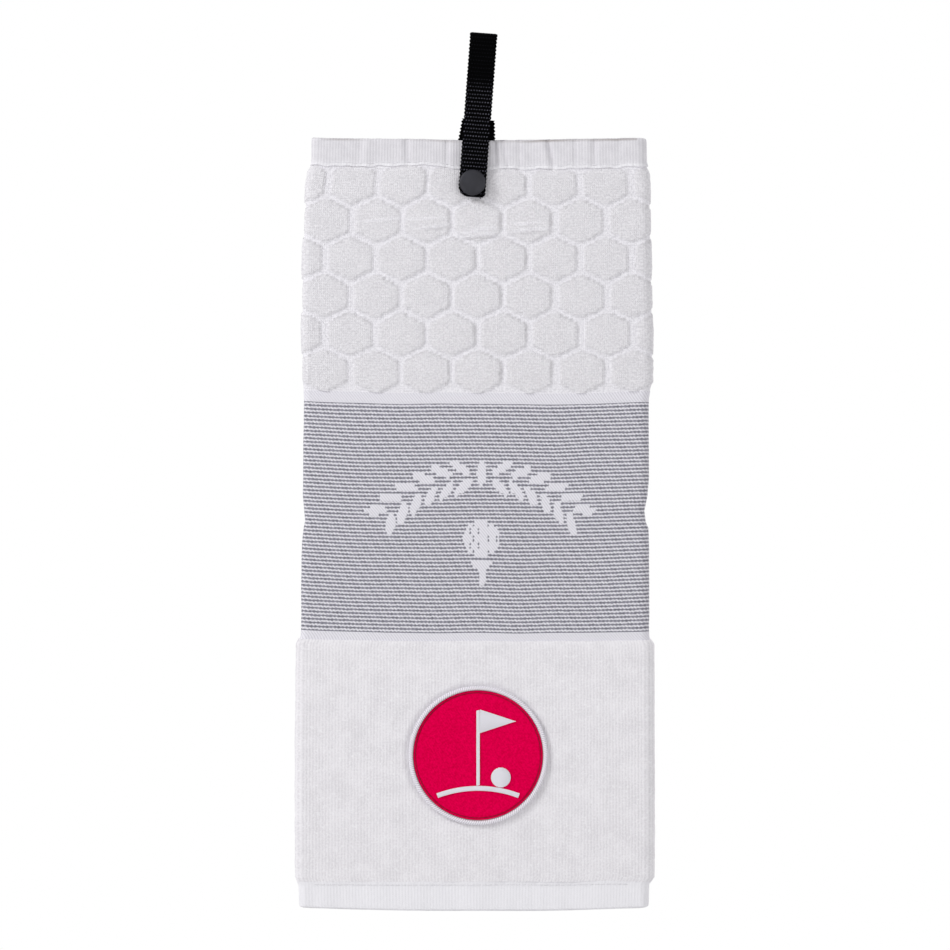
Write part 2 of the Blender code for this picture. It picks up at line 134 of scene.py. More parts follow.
class Nodes:
    """Short calls that add nodes to a tree, each of which returns the new node's output."""

    def __init__(self, tree):
        self.tree = tree

    def put(self, socket, value):
        if hasattr(value, "is_output") or isinstance(value, bpy.types.NodeSocket):
            self.tree.links.new(value, socket)
        else:
            socket.default_value = value

    def node(self, kind, output=0, settings=None, **inputs):
        made = self.tree.nodes.new(kind)
        for name, value in (settings or {}).items():
            setattr(made, name, value)
        for key, value in inputs.items():
            index = int(key[1:]) if key[0] == "i" and key[1:].isdigit() else key.replace("_", " ")
            self.put(made.inputs[index], value)
        return made.outputs[output]

    def maths(self, operation, *values):
        inputs = {f"i{n}": value for n, value in enumerate(values)}
        return self.node("ShaderNodeMath", settings={"operation": operation}, **inputs)

    def scaled(self, value, factor, *added):
        """value x factor, with something added where it is given."""
        return self.maths("MULTIPLY_ADD" if added else "MULTIPLY", value, factor, *added)

    def ramp(self, value, low, high, bottom=0.0, top=1.0):
        return self.node(
            "ShaderNodeMapRange",
            settings={"interpolation_type": "SMOOTHSTEP"},
            Value=value, From_Min=low, From_Max=high, To_Min=bottom, To_Max=top,
        )

    def mix(self, share, one, other):
        made = self.tree.nodes.new("ShaderNodeMix")
        made.data_type = "RGBA"
        self.put(made.inputs[0], share)
        self.put(made.inputs[6], one)
        self.put(made.inputs[7], other)
        return made.outputs[2]

    def noise(self, where, scale, detail=2.0, roughness=0.5):
        return self.node(
            "ShaderNodeTexNoise", Vector=where, Scale=scale, Detail=detail, Roughness=roughness
        )

    def place(self):
        return self.node("ShaderNodeTexCoord", output=3)

    def attribute(self, name):
        return self.node("ShaderNodeAttribute", output=2, settings={"attribute_name": name})

    def split(self, vector):
        """The x, y and z of a vector."""
        parts = self.tree.nodes.new("ShaderNodeSeparateXYZ")
        self.tree.links.new(vector, parts.inputs[0])
        return parts.outputs


print("node helpers:", ", ".join(n for n in vars(Nodes) if n[0] != "_"))

# %% [markdown]
# The studio around is white in a band at the height of the towel, so the background stays white, and
# dimmer above and below, so that the white cloth isn't washed out. The floor is far below the towel,
# which hangs clear of it. It is stage dressing and no part of the towel.

# %% World and floor
FLOOR_DROP = 0.62
WHITE_BAND = (0.27, 0.40)
AWAY_FROM_BAND = 0.45

world = bpy.data.worlds.new("white_studio")
world.use_nodes = True
sky = Nodes(world.node_tree)
steep = sky.maths("ABSOLUTE", sky.split(sky.node("ShaderNodeTexCoord"))[2])
dim = sky.node("ShaderNodeMapRange", Value=steep, From_Min=WHITE_BAND[0], From_Max=WHITE_BAND[1],
               To_Min=1.0, To_Max=AWAY_FROM_BAND)
sky.put(world.node_tree.nodes["Background"].inputs["Strength"], dim)
world.node_tree.nodes["Background"].inputs["Color"].default_value = (1, 1, 1, 1)
bpy.context.scene.world = world
bpy.context.scene.view_settings.view_transform = "Standard"


def as_mesh(name, bm):
    mesh = bpy.data.meshes.new(name)
    bm.to_mesh(mesh)
    bm.free()
    return mesh


bm = bmesh.new()
bmesh.ops.create_grid(bm, x_segments=1, y_segments=1, size=3)
bmesh.ops.translate(bm, verts=bm.verts, vec=(0, 0, cad_box[0].z - FLOOR_DROP))
floor = add_object("floor", as_mesh("floor", bm))
print("floor at z =", round(cad_box[0].z - FLOOR_DROP, 3))

# %% [markdown]
# ## A material
# `Finish` is the material itself: a Principled shader with nodes in front of it. It adds the cloth's
# own directions, a repeating wave, which is a thread's most useful shape, and the links to the
# shader's colour, roughness and normal.

# %% Material helper


class Finish(Nodes):
    """A material with one Principled shader, and short calls to add nodes before it."""

    def __init__(self, name, roughness=0.9, **values):
        self.material = bpy.data.materials.new(name)
        self.material.use_nodes = True
        super().__init__(self.material.node_tree)
        self.shader = self.tree.nodes["Principled BSDF"]
        self.shader.inputs["Roughness"].default_value = roughness
        for socket, value in values.items():
            self.shader.inputs[socket.replace("_", " ")].default_value = value

    def woven(self):
        """The cloth's own two directions, in metres: across the weave and up it."""
        weave = self.node("ShaderNodeUVMap", settings={"uv_map": "weave"})
        parts = self.split(weave)
        return weave, parts[0], parts[1]

    def wave(self, value, pitch, shift=0.0):
        """A cosine from 0 to 1 that repeats at each pitch."""
        turn = self.scaled(value, math.tau / pitch, shift)
        return self.scaled(self.maths("COSINE", turn), 0.5, 0.5)

    def colour(self, value):
        self.put(self.shader.inputs["Base Color"], value)

    def rough(self, value):
        self.put(self.shader.inputs["Roughness"], value)

    def bump(self, height, distance, strength=1.0):
        made = self.tree.nodes.new("ShaderNodeBump")
        made.inputs["Distance"].default_value = distance
        made.inputs["Strength"].default_value = strength
        self.put(made.inputs["Height"], height)
        self.tree.links.new(made.outputs[0], self.shader.inputs["Normal"])


MM = 0.001
print("a finish starts with the nodes:", ", ".join(n.name for n in Finish("trial").tree.nodes))
bpy.data.materials.remove(bpy.data.materials["trial"])

# %% [markdown]
# ## The cloth's finishes
# Cotton is rough and scatters light, so each white zone has a high roughness and a little sheen, with
# no gloss. What tells the zones apart is the weave: loops in the honeycomb, fine upright ribs in the
# hems and the velour, a diagonal in the plain strips. All of them read the cloth's own directions,
# kept in the UV map `weave` in metres, so that the threads follow the cloth round its folds.
#
# The honeycomb's cells are uncut loops, which shade each other, so they are the darker tone. Between
# them the ground weave shows, flat and paler. The mesh marks the cells with `cell`, and the rims that
# lie in shade with a mark that darkens their colour: painted shade, strongest on the upper and right
# sides.

# %% Honeycomb finish


def cotton(name):
    return Finish(name, 0.95, Sheen_Weight=0.15, Sheen_Roughness=0.6, Specular_IOR_Level=0.15)


def honeycomb_finish():
    """Raised cells of terry loops, with paler flat-woven channels between them."""
    f = cotton("honeycomb_terry")
    weave, across, up = f.woven()
    loops = f.noise(weave, 900, 3, 0.6)
    patches = f.noise(weave, 120, 2)
    loop_height = f.scaled(f.wave(across, 0.0011), f.wave(up, 0.0013))
    cell = f.attribute("cell")
    edge = f.attribute("painted_shade")
    shade = f.scaled(loops, 0.85, f.scaled(patches, 0.15))
    base = f.mix(f.ramp(shade, 0.36, 0.66), (0.71, 0.695, 0.73, 1), (0.86, 0.845, 0.88, 1))
    pale = f.mix(f.ramp(loops, 0.35, 0.6), (0.76, 0.745, 0.79, 1), (0.90, 0.885, 0.93, 1))
    tone = f.mix(cell, pale, base)
    # painted shade: the rims of the cells that lie in shade are darkened in the colour
    f.colour(f.mix(f.scaled(edge, 0.7), tone, (0.54, 0.525, 0.55, 1)))
    f.bump(f.scaled(loop_height, 0.5, loops), 0.00045, 0.7)
    return f.material


COTTON = {"honeycomb": honeycomb_finish()}
print("the honeycomb's finish has", len(COTTON["honeycomb"].node_tree.nodes), "nodes")

# %% [markdown]
# Velour is terry whose loops have been sheared off, which leaves an even pile of cut ends. It is the
# softest and palest zone. The rows of pile still show as faint upright ribs, and a few loose fibres
# catch the light, which a fine noise with a high threshold imitates.

# %% Velour finish
VELOUR_RIB = 1.65 * MM


def velour_finish():
    """Sheared pile: soft, even and a little warmer, with faint upright ribs and painted glints of loose
    fibres.
    """
    f = cotton("velour_pile")
    weave, across, up = f.woven()
    fluff = f.noise(weave, 1100, 3, 0.65)
    drift = f.noise(weave, 90, 2)
    rib = f.wave(f.scaled(drift, 0.0008, across), VELOUR_RIB)
    soft = f.scaled(fluff, 0.65, f.scaled(drift, 0.35))
    tone = f.scaled(rib, 0.14, soft)
    pile = f.mix(f.ramp(tone, 0.38, 0.72), (0.75, 0.73, 0.765, 1), (0.90, 0.88, 0.915, 1))
    # painted highlight: loose fibres that catch the light, as pale specks
    fibre_glint = f.ramp(f.noise(weave, 480, 5, 0.8), 0.54, 0.62, 0.0, 0.8)
    f.colour(f.mix(fibre_glint, pile, (0.93, 0.92, 0.95, 1)))
    f.bump(f.scaled(rib, 0.35, fluff), 0.00035, 0.6)
    return f.material


COTTON["velour"] = velour_finish()
print("the velour's ribs are", VELOUR_RIB / MM, "mm apart")

# %% [markdown]
# The hems have no pile. They are the ground weave alone, folded double, and show its upright ribs. The
# mesh marks with `lip` the furry line where the pile begins, which is painted paler as a painted
# highlight; the whole bottom hem is painted paler too, as painted light. Another mark paints the thin
# shaded line along the top, where one looks in between the layers, dark as painted shade.

# %% Hem finish
HEM_RIB = 1.62 * MM


def hem_finish():
    """Flat weave with upright ribs, folded double."""
    f = cotton("hem_rib")
    weave, across, up = f.woven()
    thread = f.noise(weave, 1500, 2)
    rib = f.wave(across, HEM_RIB)
    pick = f.wave(up, 0.0009)
    soft = f.noise(weave, 210, 2)
    tone = f.scaled(rib, 0.25, f.scaled(f.maths("ADD", thread, soft), 0.5))
    cotton_tone = f.mix(f.ramp(tone, 0.25, 0.95), (0.66, 0.645, 0.685, 1), (0.81, 0.795, 0.835, 1))
    # painted highlight on the furry lip, and painted light over the whole bottom hem
    cotton_tone = f.mix(f.attribute("lip"), cotton_tone, (0.91, 0.90, 0.94, 1))
    # painted shade: a thin dark line along the top, where one looks in between the layers
    f.colour(f.mix(f.attribute("painted_shade"), cotton_tone, (0.36, 0.325, 0.315, 1)))
    height = f.scaled(pick, 0.3, f.scaled(thread, 0.6, rib))
    f.bump(height, 0.00016, 0.6)
    return f.material


COTTON["hem"] = hem_finish()
print("the hem's ribs are", HEM_RIB / MM, "mm apart")

# %% [markdown]
# The back of a terry cloth has short loops all over, in rows. It shows only when the towel is unfolded.

# %% Reverse finish


def reverse_finish():
    """The back of the cloth: short terry loops all over."""
    f = cotton("reverse_terry")
    weave, across, up = f.woven()
    loops = f.noise(weave, 800, 3, 0.6)
    row = f.scaled(f.wave(across, 0.0014), f.wave(up, 0.0016))
    tone = f.scaled(row, 0.4, f.scaled(loops, 0.7))
    f.colour(f.mix(f.ramp(tone, 0.2, 0.85), (0.66, 0.645, 0.68, 1), (0.80, 0.785, 0.82, 1)))
    f.bump(f.scaled(row, 0.8, loops), 0.0004, 0.6)
    return f.material


COTTON["reverse"] = reverse_finish()
print("cloth finishes so far:", ", ".join(COTTON))

# %% [markdown]
# The band is the one coloured zone. Grey weft shows on the face as thin broken lines on white, a line
# at every second millimetre, and each line thickens where the weft rides over a group of warp threads.
# The white motif is woven in: there the grey weft stays behind the cloth. The mesh says where with
# `motif`, and which rows are plain twill with `plain`.

# %% Band
STRIPE_PITCH = 1.95 * MM


def band_finish():
    f = cotton("striped_band")
    weave, across, up = f.woven()
    wobble = f.noise(weave, 330, 2)
    phase = f.maths("DIVIDE", f.scaled(wobble, 0.0005, up), STRIPE_PITCH)
    line = f.maths("FLOOR", phase)
    middle = f.maths("ABSOLUTE", f.maths("SUBTRACT", f.maths("FRACT", phase), 0.5))
    dash = f.wave(across, 0.00205, f.scaled(line, 2.2))
    group = f.wave(across, 0.0068, f.scaled(line, 1.4))
    stray = f.noise(weave, 800, 2, 0.6)
    width = f.scaled(dash, 0.17, f.scaled(stray, 0.20, 0.02))
    width = f.scaled(group, 0.05, width)
    spare = f.maths("SUBTRACT", width, middle)
    dark = f.ramp(spare, -0.13, 0.08)
    motif = f.ramp(f.maths("ADD", f.attribute("motif"), f.attribute("plain")), 0.4, 0.6)
    dark = f.scaled(dark, f.maths("SUBTRACT", 1.0, motif))
    twill = f.wave(f.maths("ADD", across, f.scaled(up, 0.8)), 0.00155)
    hatch = f.scaled(twill, 0.6, f.scaled(stray, 0.5))
    white = f.mix(f.ramp(hatch, 0.15, 0.8), (0.66, 0.645, 0.70, 1), (0.84, 0.825, 0.885, 1))
    grey = f.mix(f.ramp(stray, 0.3, 0.7), (0.15, 0.15, 0.18, 1), (0.31, 0.305, 0.36, 1))
    f.colour(f.mix(dark, white, grey))
    height = f.maths("SUBTRACT", f.scaled(hatch, 0.5), f.scaled(dark, 0.6))
    f.bump(height, 0.0003, 0.65)
    return f.material


COTTON["band"] = band_finish()
print("the band's lines are", STRIPE_PITCH / MM, "mm apart")

# %% [markdown]
# ## Where the cloth runs
# Follow one thread across the towel, from the free edge of the inner flap, round the left fold, over
# the front, round the right fold and along the outer flap. `across` is the distance along it from the
# towel's middle, and `across_to_place` turns it into a point and a direction that faces out of the
# cloth. The frame's boxes give the planes, so the bends are the ones that the frame turns on.

# %% The cloth's path
CLOTH = 0.003

panel_low, panel_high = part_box("centre_panel")
MIDDLE = (panel_low.x + panel_high.x) / 2
HALF = (panel_high.x - panel_low.x) / 2
FRONT = panel_low.y
BOTTOM = panel_low.z
TOP = panel_high.z
INNER_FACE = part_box("left_flap")[1].y
OUTER_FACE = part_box("right_flap")[1].y
LEFT_RADIUS = (INNER_FACE - FRONT) / 2
RIGHT_RADIUS = (OUTER_FACE - FRONT) / 2
LEFT_TURN = HALF - LEFT_RADIUS
RIGHT_TURN = HALF - RIGHT_RADIUS
LEFT_BEND = math.pi * (LEFT_RADIUS - CLOTH / 2)
RIGHT_BEND = math.pi * (RIGHT_RADIUS - CLOTH / 2)
LEFT_END = LEFT_TURN + LEFT_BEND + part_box("left_flap")[1].x - (MIDDLE - LEFT_TURN)
RIGHT_END = RIGHT_TURN + RIGHT_BEND + (MIDDLE + RIGHT_TURN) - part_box("right_flap")[0].x
CLOTH_WIDTH = LEFT_END + RIGHT_END
BEND_OF_SIDE = ((LEFT_TURN, RIGHT_TURN), (LEFT_BEND, RIGHT_BEND), (LEFT_RADIUS, RIGHT_RADIUS),
                (INNER_FACE, OUTER_FACE))
print("the cloth is", round(CLOTH_WIDTH, 4), "m wide and", round(TOP - BOTTOM, 4), "m high")


def across_to_place(across, out):
    """x and y of points this far across the cloth and this far out of its face."""
    side = np.where(across < 0, -1.0, 1.0)
    reach = np.abs(across)
    turn, bend, radius, face = (np.where(side < 0, left, right) for left, right in BEND_OF_SIDE)
    angle = np.clip((reach - turn) / bend, 0, 1) * math.pi
    x = turn + (radius + out) * np.sin(angle)
    y = FRONT + radius - (radius + out) * np.cos(angle)
    flat = reach <= turn
    x = np.where(flat, reach, x)
    y = np.where(flat, FRONT - out, y)
    flap = reach >= turn + bend
    x = np.where(flap, turn - (reach - turn - bend), x)
    y = np.where(flap, face + out, y)
    return MIDDLE + side * x, y


# %% [markdown]
# ## The zones, and how the cloth drew in
# The zones run right across the cloth. Weaving and sewing pull them in by different amounts: the pile
# of the velour stands out past the folds, and the top hem is drawn in, more on the left. `SIDES` lists
# how far each side stands out from the frame at a few heights above the bottom edge. The edges of the
# zones also wander by a millimetre or two, because cloth is never quite straight.

# %% Zones and outline
ZONES = {
    "bottom_hem": (0.0, 13.4 * MM),
    "velour": (13.4 * MM, 140.6 * MM),
    "band": (140.6 * MM, 271.8 * MM),
    "honeycomb": (271.8 * MM, 391.5 * MM),
    "top_hem": (391.5 * MM, TOP - BOTTOM),
}
STRIPES = (144.8 * MM, 265.9 * MM)

# height above the bottom edge, how far the left side stands out, and how far the right side does
SIDES = np.array([
    (0.0, 1.1, -1.0), (12.5, 1.5, -0.6), (15.5, 2.7, 1.5), (75, 2.6, 1.5), (138, 2.2, 1.3),
    (142, 0.5, -0.4), (146, 0.3, -0.5), (180, 0.2, -0.5), (191, 0.1, -0.5), (199, -0.8, -0.7),
    (202.5, -1.5, -2.2), (208.5, -0.9, -2.9), (216, -0.3, -1.3), (226, -0.5, -0.4), (268, -1.2, -0.5),
    (276, -0.6, 0.9), (305, -0.4, 0.8), (330, -0.8, 0.1), (345, -1.0, -0.1), (379, -2.3, -0.4),
    (388, -3.7, -0.9), (392, -5.2, -1.9), (406.4, -5.6, -2.2),
]) * MM

for zone, (low, high) in ZONES.items():
    print(zone, "is", round((high - low) / MM, 1), "mm high")

# %% [markdown]
# ### Noise and soft steps
# Cloth is never even, so almost every measure below takes a little smooth noise. `grain` looks it up
# in a table of random numbers, one table for each seed, so the same cloth is woven on every run. A soft
# step and a soft hump shape the edges of things.

# %% Noise, step and hump
TABLE = 256
grain_tables = {}


def grain(across, up, size, seed):
    """Smooth noise from -1 to 1 on the cloth, with lumps of about this size in metres."""
    if seed not in grain_tables:
        grain_tables[seed] = np.random.default_rng(seed).uniform(-1, 1, (TABLE, TABLE))
    table = grain_tables[seed]
    column, row = across / size + 2 * TABLE, up / size + 2 * TABLE
    c, r = np.floor(column).astype(int), np.floor(row).astype(int)
    s, t = column - c, row - r
    s, t = s * s * (3 - 2 * s), t * t * (3 - 2 * t)
    c, r, c1, r1 = c % TABLE, r % TABLE, (c + 1) % TABLE, (r + 1) % TABLE
    low = table[c, r] * (1 - s) + table[c1, r] * s
    high = table[c, r1] * (1 - s) + table[c1, r1] * s
    return low * (1 - t) + high * t


def step(value, low, high):
    """0 below low, 1 above high, and smooth between."""
    t = np.clip((value - low) / (high - low), 0, 1)
    return t * t * (3 - 2 * t)


def hump(value, middle, width):
    return np.exp(-(((value - middle) / width) ** 2))


trial = grain(np.arange(5) * MM, np.zeros(5), 2 * MM, 1)
print("five points of noise:", ", ".join(f"{v:.2f}" for v in trial))

# %% [markdown]
# ### Outline
# `drawn_in` moves points out or in with the sides. `wander` moves them up or down: the band sags
# between its ends, the hems' lips wave, and the bottom hem hangs lowest in the middle.

# %% Sides and waves


def drawn_in(x, up):
    """Moves x out or in with the sides of the towel at this height."""
    left = np.interp(up, SIDES[:, 0], SIDES[:, 1])
    right = np.interp(up, SIDES[:, 0], SIDES[:, 2])
    share = np.clip((x - MIDDLE) / HALF, -1.2, 1.2)
    return x + np.where(share < 0, left * share, right * share)


def wander(across, up, x):
    """How far a point lies above its even height: the band sags a little, and the hems wave."""
    band = step(up, 0.13, 0.15) * (1 - 0.6 * step(up, 0.27, 0.30))
    left_rise = 1.9 * MM * np.exp(-np.abs(x - MIDDLE + HALF) / (28 * MM))
    right_rise = 1.3 * MM * np.exp(-np.abs(x - MIDDLE - HALF) / (26 * MM))
    ripple = 0.30 * MM * grain(across, up * 0.6, 21 * MM, 14)
    level = 0 * up
    lip = 1.9 * MM * grain(across, level, 33 * MM, 11) + 0.55 * MM * grain(across, level, 4.2 * MM, 15)
    lip = lip * hump(up, ZONES["top_hem"][0], 11 * MM)
    low_lip = 0.6 * MM * grain(across, level, 24 * MM, 12) * hump(up, ZONES["bottom_hem"][1], 8 * MM)
    edge = 0.35 * MM * grain(across, level, 40 * MM, 13)
    share = np.clip((x - MIDDLE) / HALF, -1, 1)
    sag = (2.5 - 1.8 * share * share) * MM * np.clip(1 - up / ZONES["bottom_hem"][1], 0, 1)
    return band * (left_rise + right_rise - 0.5 * MM + ripple) + lip + low_lip + edge - sag


print("the sides stand out by up to", SIDES[:, 1:].max() / MM, "mm")
print("and are drawn in by up to", -SIDES[:, 1:].min() / MM, "mm")

# %% [markdown]
# ## Relief
# Each zone has its own relief, in metres out of the frame's face. The honeycomb is a net of squashed
# hexagons: the distance to the nearest side of a cell says what is raised pile and what is channel, and
# a little noise makes the edges lumpy, as loops do. Where the patch and the strap press on the cloth,
# the pile is flat.

# %% Cells
CELL_PITCH = 27.2 * MM
ROW_PITCH = 19.95 * MM
LAST_ROW = 5
CHANNEL = 3.1 * MM
FIRST_CELL = (0.9 * MM, 282.7 * MM)
SQUASH = CELL_PITCH * math.sqrt(3) / 2 / ROW_PITCH
LOOP = (2.3 * MM, 1.3 * MM)
CORNER = 1.10


def cell_distance(across, up):
    """How far inside the nearest cell a point lies, and where it lies from the cell's middle."""
    best = np.full(across.shape, -1.0)
    from_x = np.zeros(across.shape)
    from_z = np.zeros(across.shape)
    row = np.round((up - FIRST_CELL[1]) / ROW_PITCH)
    for near in (-1, 0, 1):
        shift = np.where((row + near) % 2 == 0, 0.0, CELL_PITCH / 2)
        column = np.round((across - FIRST_CELL[0] - shift) / CELL_PITCH)
        dx = across - FIRST_CELL[0] - shift - column * CELL_PITCH
        dz = (up - FIRST_CELL[1] - (row + near) * ROW_PITCH) * SQUASH
        slanted = np.abs(dx) / 2 + np.abs(dz) * math.sqrt(3) / 2
        inside = CELL_PITCH / 2 - np.maximum(np.abs(dx), slanted)
        inside = np.where((row + near < 0) | (row + near > LAST_ROW), -1.0, inside)
        closer = inside > best
        best = np.where(closer, inside, best)
        from_x = np.where(closer, dx, from_x)
        from_z = np.where(closer, dz, from_z)
    return best, from_x, from_z


def loop_edge(across, up):
    """The same distance with rounder corners, in steps of whole loops, as the pile really ends."""
    column = (np.floor(across / LOOP[0]) + 0.5) * LOOP[0]
    row = (np.floor(up / LOOP[1]) + 0.5) * LOOP[1]
    smooth = cell_distance(across, up)
    stepped = cell_distance(across * 0.1 + column * 0.9, up * 0.1 + row * 0.9)[0]
    corner = CORNER * CELL_PITCH / 2 - np.hypot(smooth[1], smooth[2])
    inside = 0.25 * smooth[0] + 0.75 * stepped
    return np.minimum(inside, corner), smooth[1], smooth[2]


print("a cell is", round((CELL_PITCH - CHANNEL) / MM, 1), "mm wide, in", LAST_ROW + 1, "rows")

# %% [markdown]
# The strap's pull and the fold have pressed a few thin level creases into the second row of cells,
# under the snap. Each is a ridge or a valley with soft ends. A ridge is painted paler along its line, a
# painted highlight, and a valley is painted darker, painted shade. The list below has one of them per
# entry.

# %% Honeycomb relief
CREASE_WIDTH = 0.62 * MM
CREASE_DEPTH = 0.8 * MM

# where each of the creases is, in mm across and up, how long it is, and how far it stands out
CREASES = [(-50, 363.2, 22, 0.45), (-28, 363.6, 20, 0.45), (-21.5, 359.6, 19, 0.8),
           (-21, 357.8, 17, -0.6), (-3.5, 356.6, 11, 0.6), (2, 355.0, 24, 0.85), (4, 353.2, 22, -0.7),
           (4, 358.4, 12, 0.5), (30, 358.0, 20, 0.75), (31, 356.3, 20, -0.6), (26, 361.6, 12, 0.4)]


def honeycomb_relief(across, up, marks):
    inside, dx, dz = loop_edge(across, up)
    lumpy = inside + 0.28 * MM * grain(across, up, 1.2 * MM, 21)
    lumpy = lumpy + 0.14 * MM * grain(across, up, 0.8 * MM, 22)
    cell = step(lumpy, CHANNEL / 2 - 0.25 * MM, CHANNEL / 2 + 0.45 * MM)
    crown = 1 - np.clip(1 - inside / (CELL_PITCH / 2), 0, 1) ** 2
    top = 0.05 * MM + 0.30 * MM * crown + 0.16 * MM * grain(across, up, 1.4 * MM, 23)
    channel = -0.85 * MM + 0.07 * MM * grain(across, up, 1.6 * MM, 24)
    channel = channel + 0.30 * MM * hump(inside, CHANNEL / 2 - 0.9 * MM, 0.5 * MM)
    relief = channel + (top - channel) * cell
    # painted shade along the rims of the cells, strongest on their upper and right sides
    rim = hump(lumpy, CHANNEL / 2 + 0.30 * MM, 0.42 * MM)
    facing = np.clip((0.7 * dx + 1.2 * dz) / (CELL_PITCH / 2) + 0.45, 0.15, 1)
    marks["cell"] = cell
    marks["painted_shade"] = np.clip(rim * facing * (0.8 + 0.35 * grain(across, up, 2 * MM, 25)), 0, 1)
    for x, z, length, depth in CREASES:
        slope = (across - x * MM) * 0.09 + 0.5 * MM * grain(across, 0 * up, 6 * MM, int(z))
        line = hump(up - slope, z * MM, CREASE_WIDTH) * hump(across, x * MM, length * MM / 2)
        relief = relief + depth * CREASE_DEPTH * line
        # a ridge is painted paler along its line (painted highlight), a valley darker (painted shade)
        if depth > 0:
            marks["cell"] = marks["cell"] * (1 - np.clip(2.2 * line, 0, 1))
        else:
            marks["painted_shade"] = np.maximum(marks["painted_shade"], 0.5 * line)
    under_hem = step(up, ZONES["top_hem"][0] - 3 * MM, ZONES["top_hem"][0])
    return relief * (1 - under_hem) + (-0.6 * MM) * under_hem


print(len(CREASES), "creases in the second row of cells")

# %% [markdown]
# The motif in the band is a golf ball on its tee under an arch of laurel leaves. It is drawn with
# distances to simple shapes, and sampled row by row and thread by thread, which gives the stepped
# edges of a woven picture.

# %% Motif
MOTIF_MIDDLE = (2.9 * MM, 203 * MM)
THREAD_STEP = 0.7 * MM
ARCH = (-49.0, 74.0)
LEAVES = 6


def ellipse(x, y, middle, turn, long, wide):
    """Distance outside an ellipse, roughly, in millimetres."""
    dx, dy = x - middle[0], y - middle[1]
    along = dx * math.cos(turn) + dy * math.sin(turn)
    aside = -dx * math.sin(turn) + dy * math.cos(turn)
    return (np.hypot(along / long, aside / wide) - 1) * wide


def motif_distance(x, y):
    """Distance outside the motif, in millimetres, negative inside it."""
    found = ellipse(x, y, (0, ARCH[0] + ARCH[1] + 1.5), math.pi / 2, 6.4, 2.6)
    for side in (-1, 1):
        for n in range(LEAVES):
            turn = side * math.radians(8.2 + 7.4 * n)
            for out in (-1, 1):
                reach = ARCH[1] + 5.2 * out
                middle = (reach * math.sin(turn), ARCH[0] + reach * math.cos(turn))
                lean = -turn + side * out * math.radians(38) + math.pi * (side < 0)
                found = np.minimum(found, ellipse(x, y, middle, lean, 6.2, 2.3))
    ball = np.hypot(x, y + 8.0) - 9.6
    for row in range(-2, 3):
        for column in range(-2, 3):
            dimple = np.hypot(x - 3.9 * column - 1.95 * (row % 2), y + 8.0 - 3.9 * row)
            ball = np.maximum(ball, 1.0 - dimple)
    found = np.minimum(found, ball)
    depth = -y - 19.2
    cup = np.abs(x) - np.interp(depth, [0, 2.5, 6.0, 12.5, 14.5], [6.4, 5.0, 1.9, 1.6, 0.6])
    tee = np.maximum(cup, np.maximum(-depth, depth - 14.5))
    return np.minimum(found, tee)


print("the arch has", 4 * LEAVES + 1, "leaves")

# %% [markdown]
# The band and the velour are nearly flat, so their relief is slight: a groove at each grey weft, ribs
# in the pile, and a shoulder where the velour's pile ends. The band lies lower than its neighbours,
# because it has no pile.

# %% Band and velour relief
BAND_LEVEL = -0.62 * MM
VELOUR_LEVEL = 0.30 * MM


def band_relief(across, up, marks):
    row = (np.floor(up / STRIPE_PITCH) + 0.5) * STRIPE_PITCH
    thread = (np.floor(across / THREAD_STEP) + 0.5) * THREAD_STEP
    x, y = (thread - MOTIF_MIDDLE[0]) / MM, (row - MOTIF_MIDDLE[1]) / MM
    motif = (motif_distance(x, y) < 0).astype(float)
    in_stripes = step(up, STRIPES[0] - 0.3 * MM, STRIPES[0] + 0.3 * MM)
    in_stripes *= 1 - step(up, STRIPES[1] - 0.3 * MM, STRIPES[1] + 0.3 * MM)
    marks["motif"] = motif
    marks["plain"] = 1 - in_stripes
    line = 0.5 - 0.5 * np.cos(math.tau * up / STRIPE_PITCH)
    ribs = -0.13 * MM * line * in_stripes * (1 - motif)
    slack = 0.10 * MM * grain(across, up, 7 * MM, 31)
    return BAND_LEVEL + ribs + 0.08 * MM * motif + slack


def velour_relief(across, up, marks):
    rib = 0.05 * MM * np.cos(math.tau * across / VELOUR_RIB)
    fluff = 0.10 * MM * grain(across, up, 1.4 * MM, 41) + 0.12 * MM * grain(across, up, 4 * MM, 42)
    shoulder = -0.5 * MM * step(up, ZONES["velour"][1] - 1.6 * MM, ZONES["velour"][1])
    return VELOUR_LEVEL + rib + fluff + shoulder


print("the velour stands", round((VELOUR_LEVEL - BAND_LEVEL) / MM, 2), "mm above the band")

# %% [markdown]
# The hems are folded double and sewn, which puckers them: a few sharp upright folds near the strap and
# shallow ones elsewhere. The list gives each pucker's place across, its depth, its width and how far it
# leans over the height of the hem.

# %% Hem relief
PUCKERS = [(-66, 0.25, 2.6, 1.5), (-62, -0.3, 2.0, 1.0), (-38, 0.55, 1.5, -0.8),
           (-41.5, -0.2, 1.6, -0.5), (-16.5, 0.5, 1.3, 0.3), (11.5, 0.75, 1.3, -1.2),
           (14.0, -0.35, 1.6, -3.0), (17.5, 0.7, 1.2, -3.4), (24.0, 0.5, 1.2, -0.8),
           (38.5, -0.5, 1.9, -2.5), (42.0, 0.9, 1.2, -3.0), (53.5, 0.5, 1.3, 0.2),
           (60.0, -0.25, 2.4, 0.5), (64.0, 0.5, 1.4, 0.5), (77.0, 0.25, 1.8, 0.4)]
PUCKER_DEPTH = 1.7 * MM


